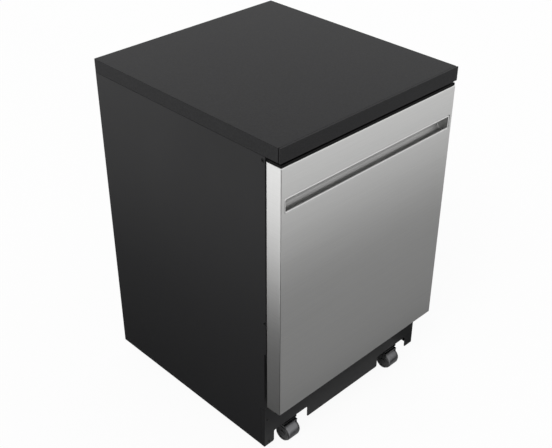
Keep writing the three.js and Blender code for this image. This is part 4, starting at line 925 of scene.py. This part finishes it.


# ---- Studio --------------------------------------------------------------------------
# A pale floor, a soft sky that is white to the eye and to the steel, and one wide soft
# lamp from the left. Glowing cards on the floor, seen only in reflections, paint a reflected
# shade into the steel: dark beside the cabinet, paler further out.

# White paper, lifted for the eye alone, so that it looks white and keeps its shadow.
bpy.ops.object.select_all(action="DESELECT")
bpy.ops.mesh.primitive_plane_add(size=40, location=(0, 0, 0))
floor = bpy.context.object
floor.name = "studio_floor"
paper = finish_named("white_paper_floor", {
    "Base Color": colour("#f6f6f6"), "Roughness": 0.9, "Specular IOR Level": 0.2})
shader = paper.node_tree.nodes["Principled BSDF"]
rays = add(paper, "ShaderNodeLightPath")
lift = add(paper, "ShaderNodeMath", {0: rays.outputs["Is Camera Ray"], 1: 0.93},
           operation="MULTIPLY")
glow = add(paper, "ShaderNodeEmission", {"Color": (1, 1, 1, 1), "Strength": 1.0})
mixed = add(paper, "ShaderNodeMixShader", {0: lift.outputs[0], 1: shader.outputs["BSDF"],
                                           2: glow.outputs["Emission"]})
paper.node_tree.links.new(mixed.outputs[0],
                          paper.node_tree.nodes["Material Output"].inputs["Surface"])
floor.data.materials.append(paper)


def card(name, low, high, along_axis, start, run, stops):
    """A glowing sheet just over the floor, seen only in reflections: painted shade along one
    axis.
    """
    bpy.ops.object.select_all(action="DESELECT")
    low, high = Vector((*low, 0.003)), Vector((*high, 0.003))
    bpy.ops.mesh.primitive_plane_add(size=1, location=(low + high) / 2)
    sheet = bpy.context.object
    sheet.name = name
    sheet.scale = (high.x - low.x, high.y - low.y, 1)
    bpy.ops.object.transform_apply(location=True, rotation=True, scale=True)
    made = bpy.data.materials.new(name)
    made.use_nodes = True
    made.node_tree.nodes.clear()
    place = add(made, "ShaderNodeTexCoord")
    parts = add(made, "ShaderNodeSeparateXYZ", {"Vector": place.outputs["Object"]})
    reach = add(made, "ShaderNodeMapRange", {"Value": parts.outputs[along_axis],
                                             "From Min": start, "From Max": start + run})
    tone = add(made, "ShaderNodeValToRGB", {"Fac": reach.outputs["Result"]})
    while len(tone.color_ramp.elements) < len(stops):
        tone.color_ramp.elements.new(0.5)
    for element, (position, level) in zip(tone.color_ramp.elements, stops):
        element.position = position
        element.color = (level, level, level, 1)
    glow = add(made, "ShaderNodeEmission", {"Color": tone.outputs["Color"], "Strength": 1.0})
    add(made, "ShaderNodeOutputMaterial", {"Surface": glow.outputs["Emission"]})
    sheet.data.materials.append(made)
    sheet.visible_camera = False
    sheet.visible_diffuse = False
    sheet.visible_shadow = False


# Each card starts just outside the cabinet, and its painted tones, dark beside the cabinet,
# run over the first 1.6 m.
CARD_X, CARD_Y, CARD_RUN = 0.31, -0.34, 1.6
FRONT_TONES = [(0.0, 0.12), (0.12, 0.26), (0.26, 0.27), (0.38, 0.19), (0.486, 0.57),
               (0.6, 0.66), (1.0, 0.95)]
CORNER_TONES = [(0.0, 0.03), (0.3, 0.06), (0.6, 0.12)]
SIDE_TONES = [(0.0, 0.05), (0.14, 0.13), (0.25, 0.1), (0.36, 0.42), (0.5, 1.0),
              (0.62, 1.25)]
card("front_card", (-CARD_X, -3.4), (3.0, CARD_Y), "Y", CARD_Y, -CARD_RUN, FRONT_TONES)
card("corner_card", (-3.0, -3.0), (-CARD_X, CARD_Y), "Y", CARD_Y, -CARD_RUN, CORNER_TONES)
card("left_card", (-3.4, CARD_Y), (-CARD_X, 3.0), "X", -CARD_X, -CARD_RUN, SIDE_TONES)
card("right_card", (CARD_X, CARD_Y), (3.4, 3.0), "X", CARD_X, CARD_RUN, SIDE_TONES)

# The lamp lights the paint and the floor, and leaves no glint on anything.
bpy.ops.object.light_add(type="SUN", location=(-2, -1, 3))
lamp = bpy.context.object
lamp.data.energy = 1.5
lamp.data.angle = math.radians(35)
lamp.visible_glossy = False
lamp.rotation_euler = Vector((-0.62, -0.3, 0.72)).to_track_quat("Z", "Y").to_euler()

# The sky gives a plain level of light, and full white where an eye or a mirror meets it.
sky = bpy.data.worlds.new("studio_sky")
sky.use_nodes = True
sky.node_tree.nodes.clear()
rays = add(sky, "ShaderNodeLightPath")
mirrored = add(sky, "ShaderNodeMath", {0: rays.outputs["Is Camera Ray"],
                                       1: rays.outputs["Is Glossy Ray"]}, operation="MAXIMUM")
seen = add(sky, "ShaderNodeMath", {0: mirrored.outputs[0],
                                   1: rays.outputs["Is Transmission Ray"]}, operation="MAXIMUM")
soft = add(sky, "ShaderNodeBackground", {"Color": (1, 1, 1, 1), "Strength": 0.55})
white = add(sky, "ShaderNodeBackground", {"Color": (1, 1, 1, 1), "Strength": 1.0})
both = add(sky, "ShaderNodeMixShader", {0: seen.outputs[0], 1: soft.outputs[0],
                                        2: white.outputs[0]})
add(sky, "ShaderNodeOutputWorld", {"Surface": both.outputs[0]})
bpy.context.scene.world = sky
bpy.context.scene.view_settings.view_transform = "Standard"
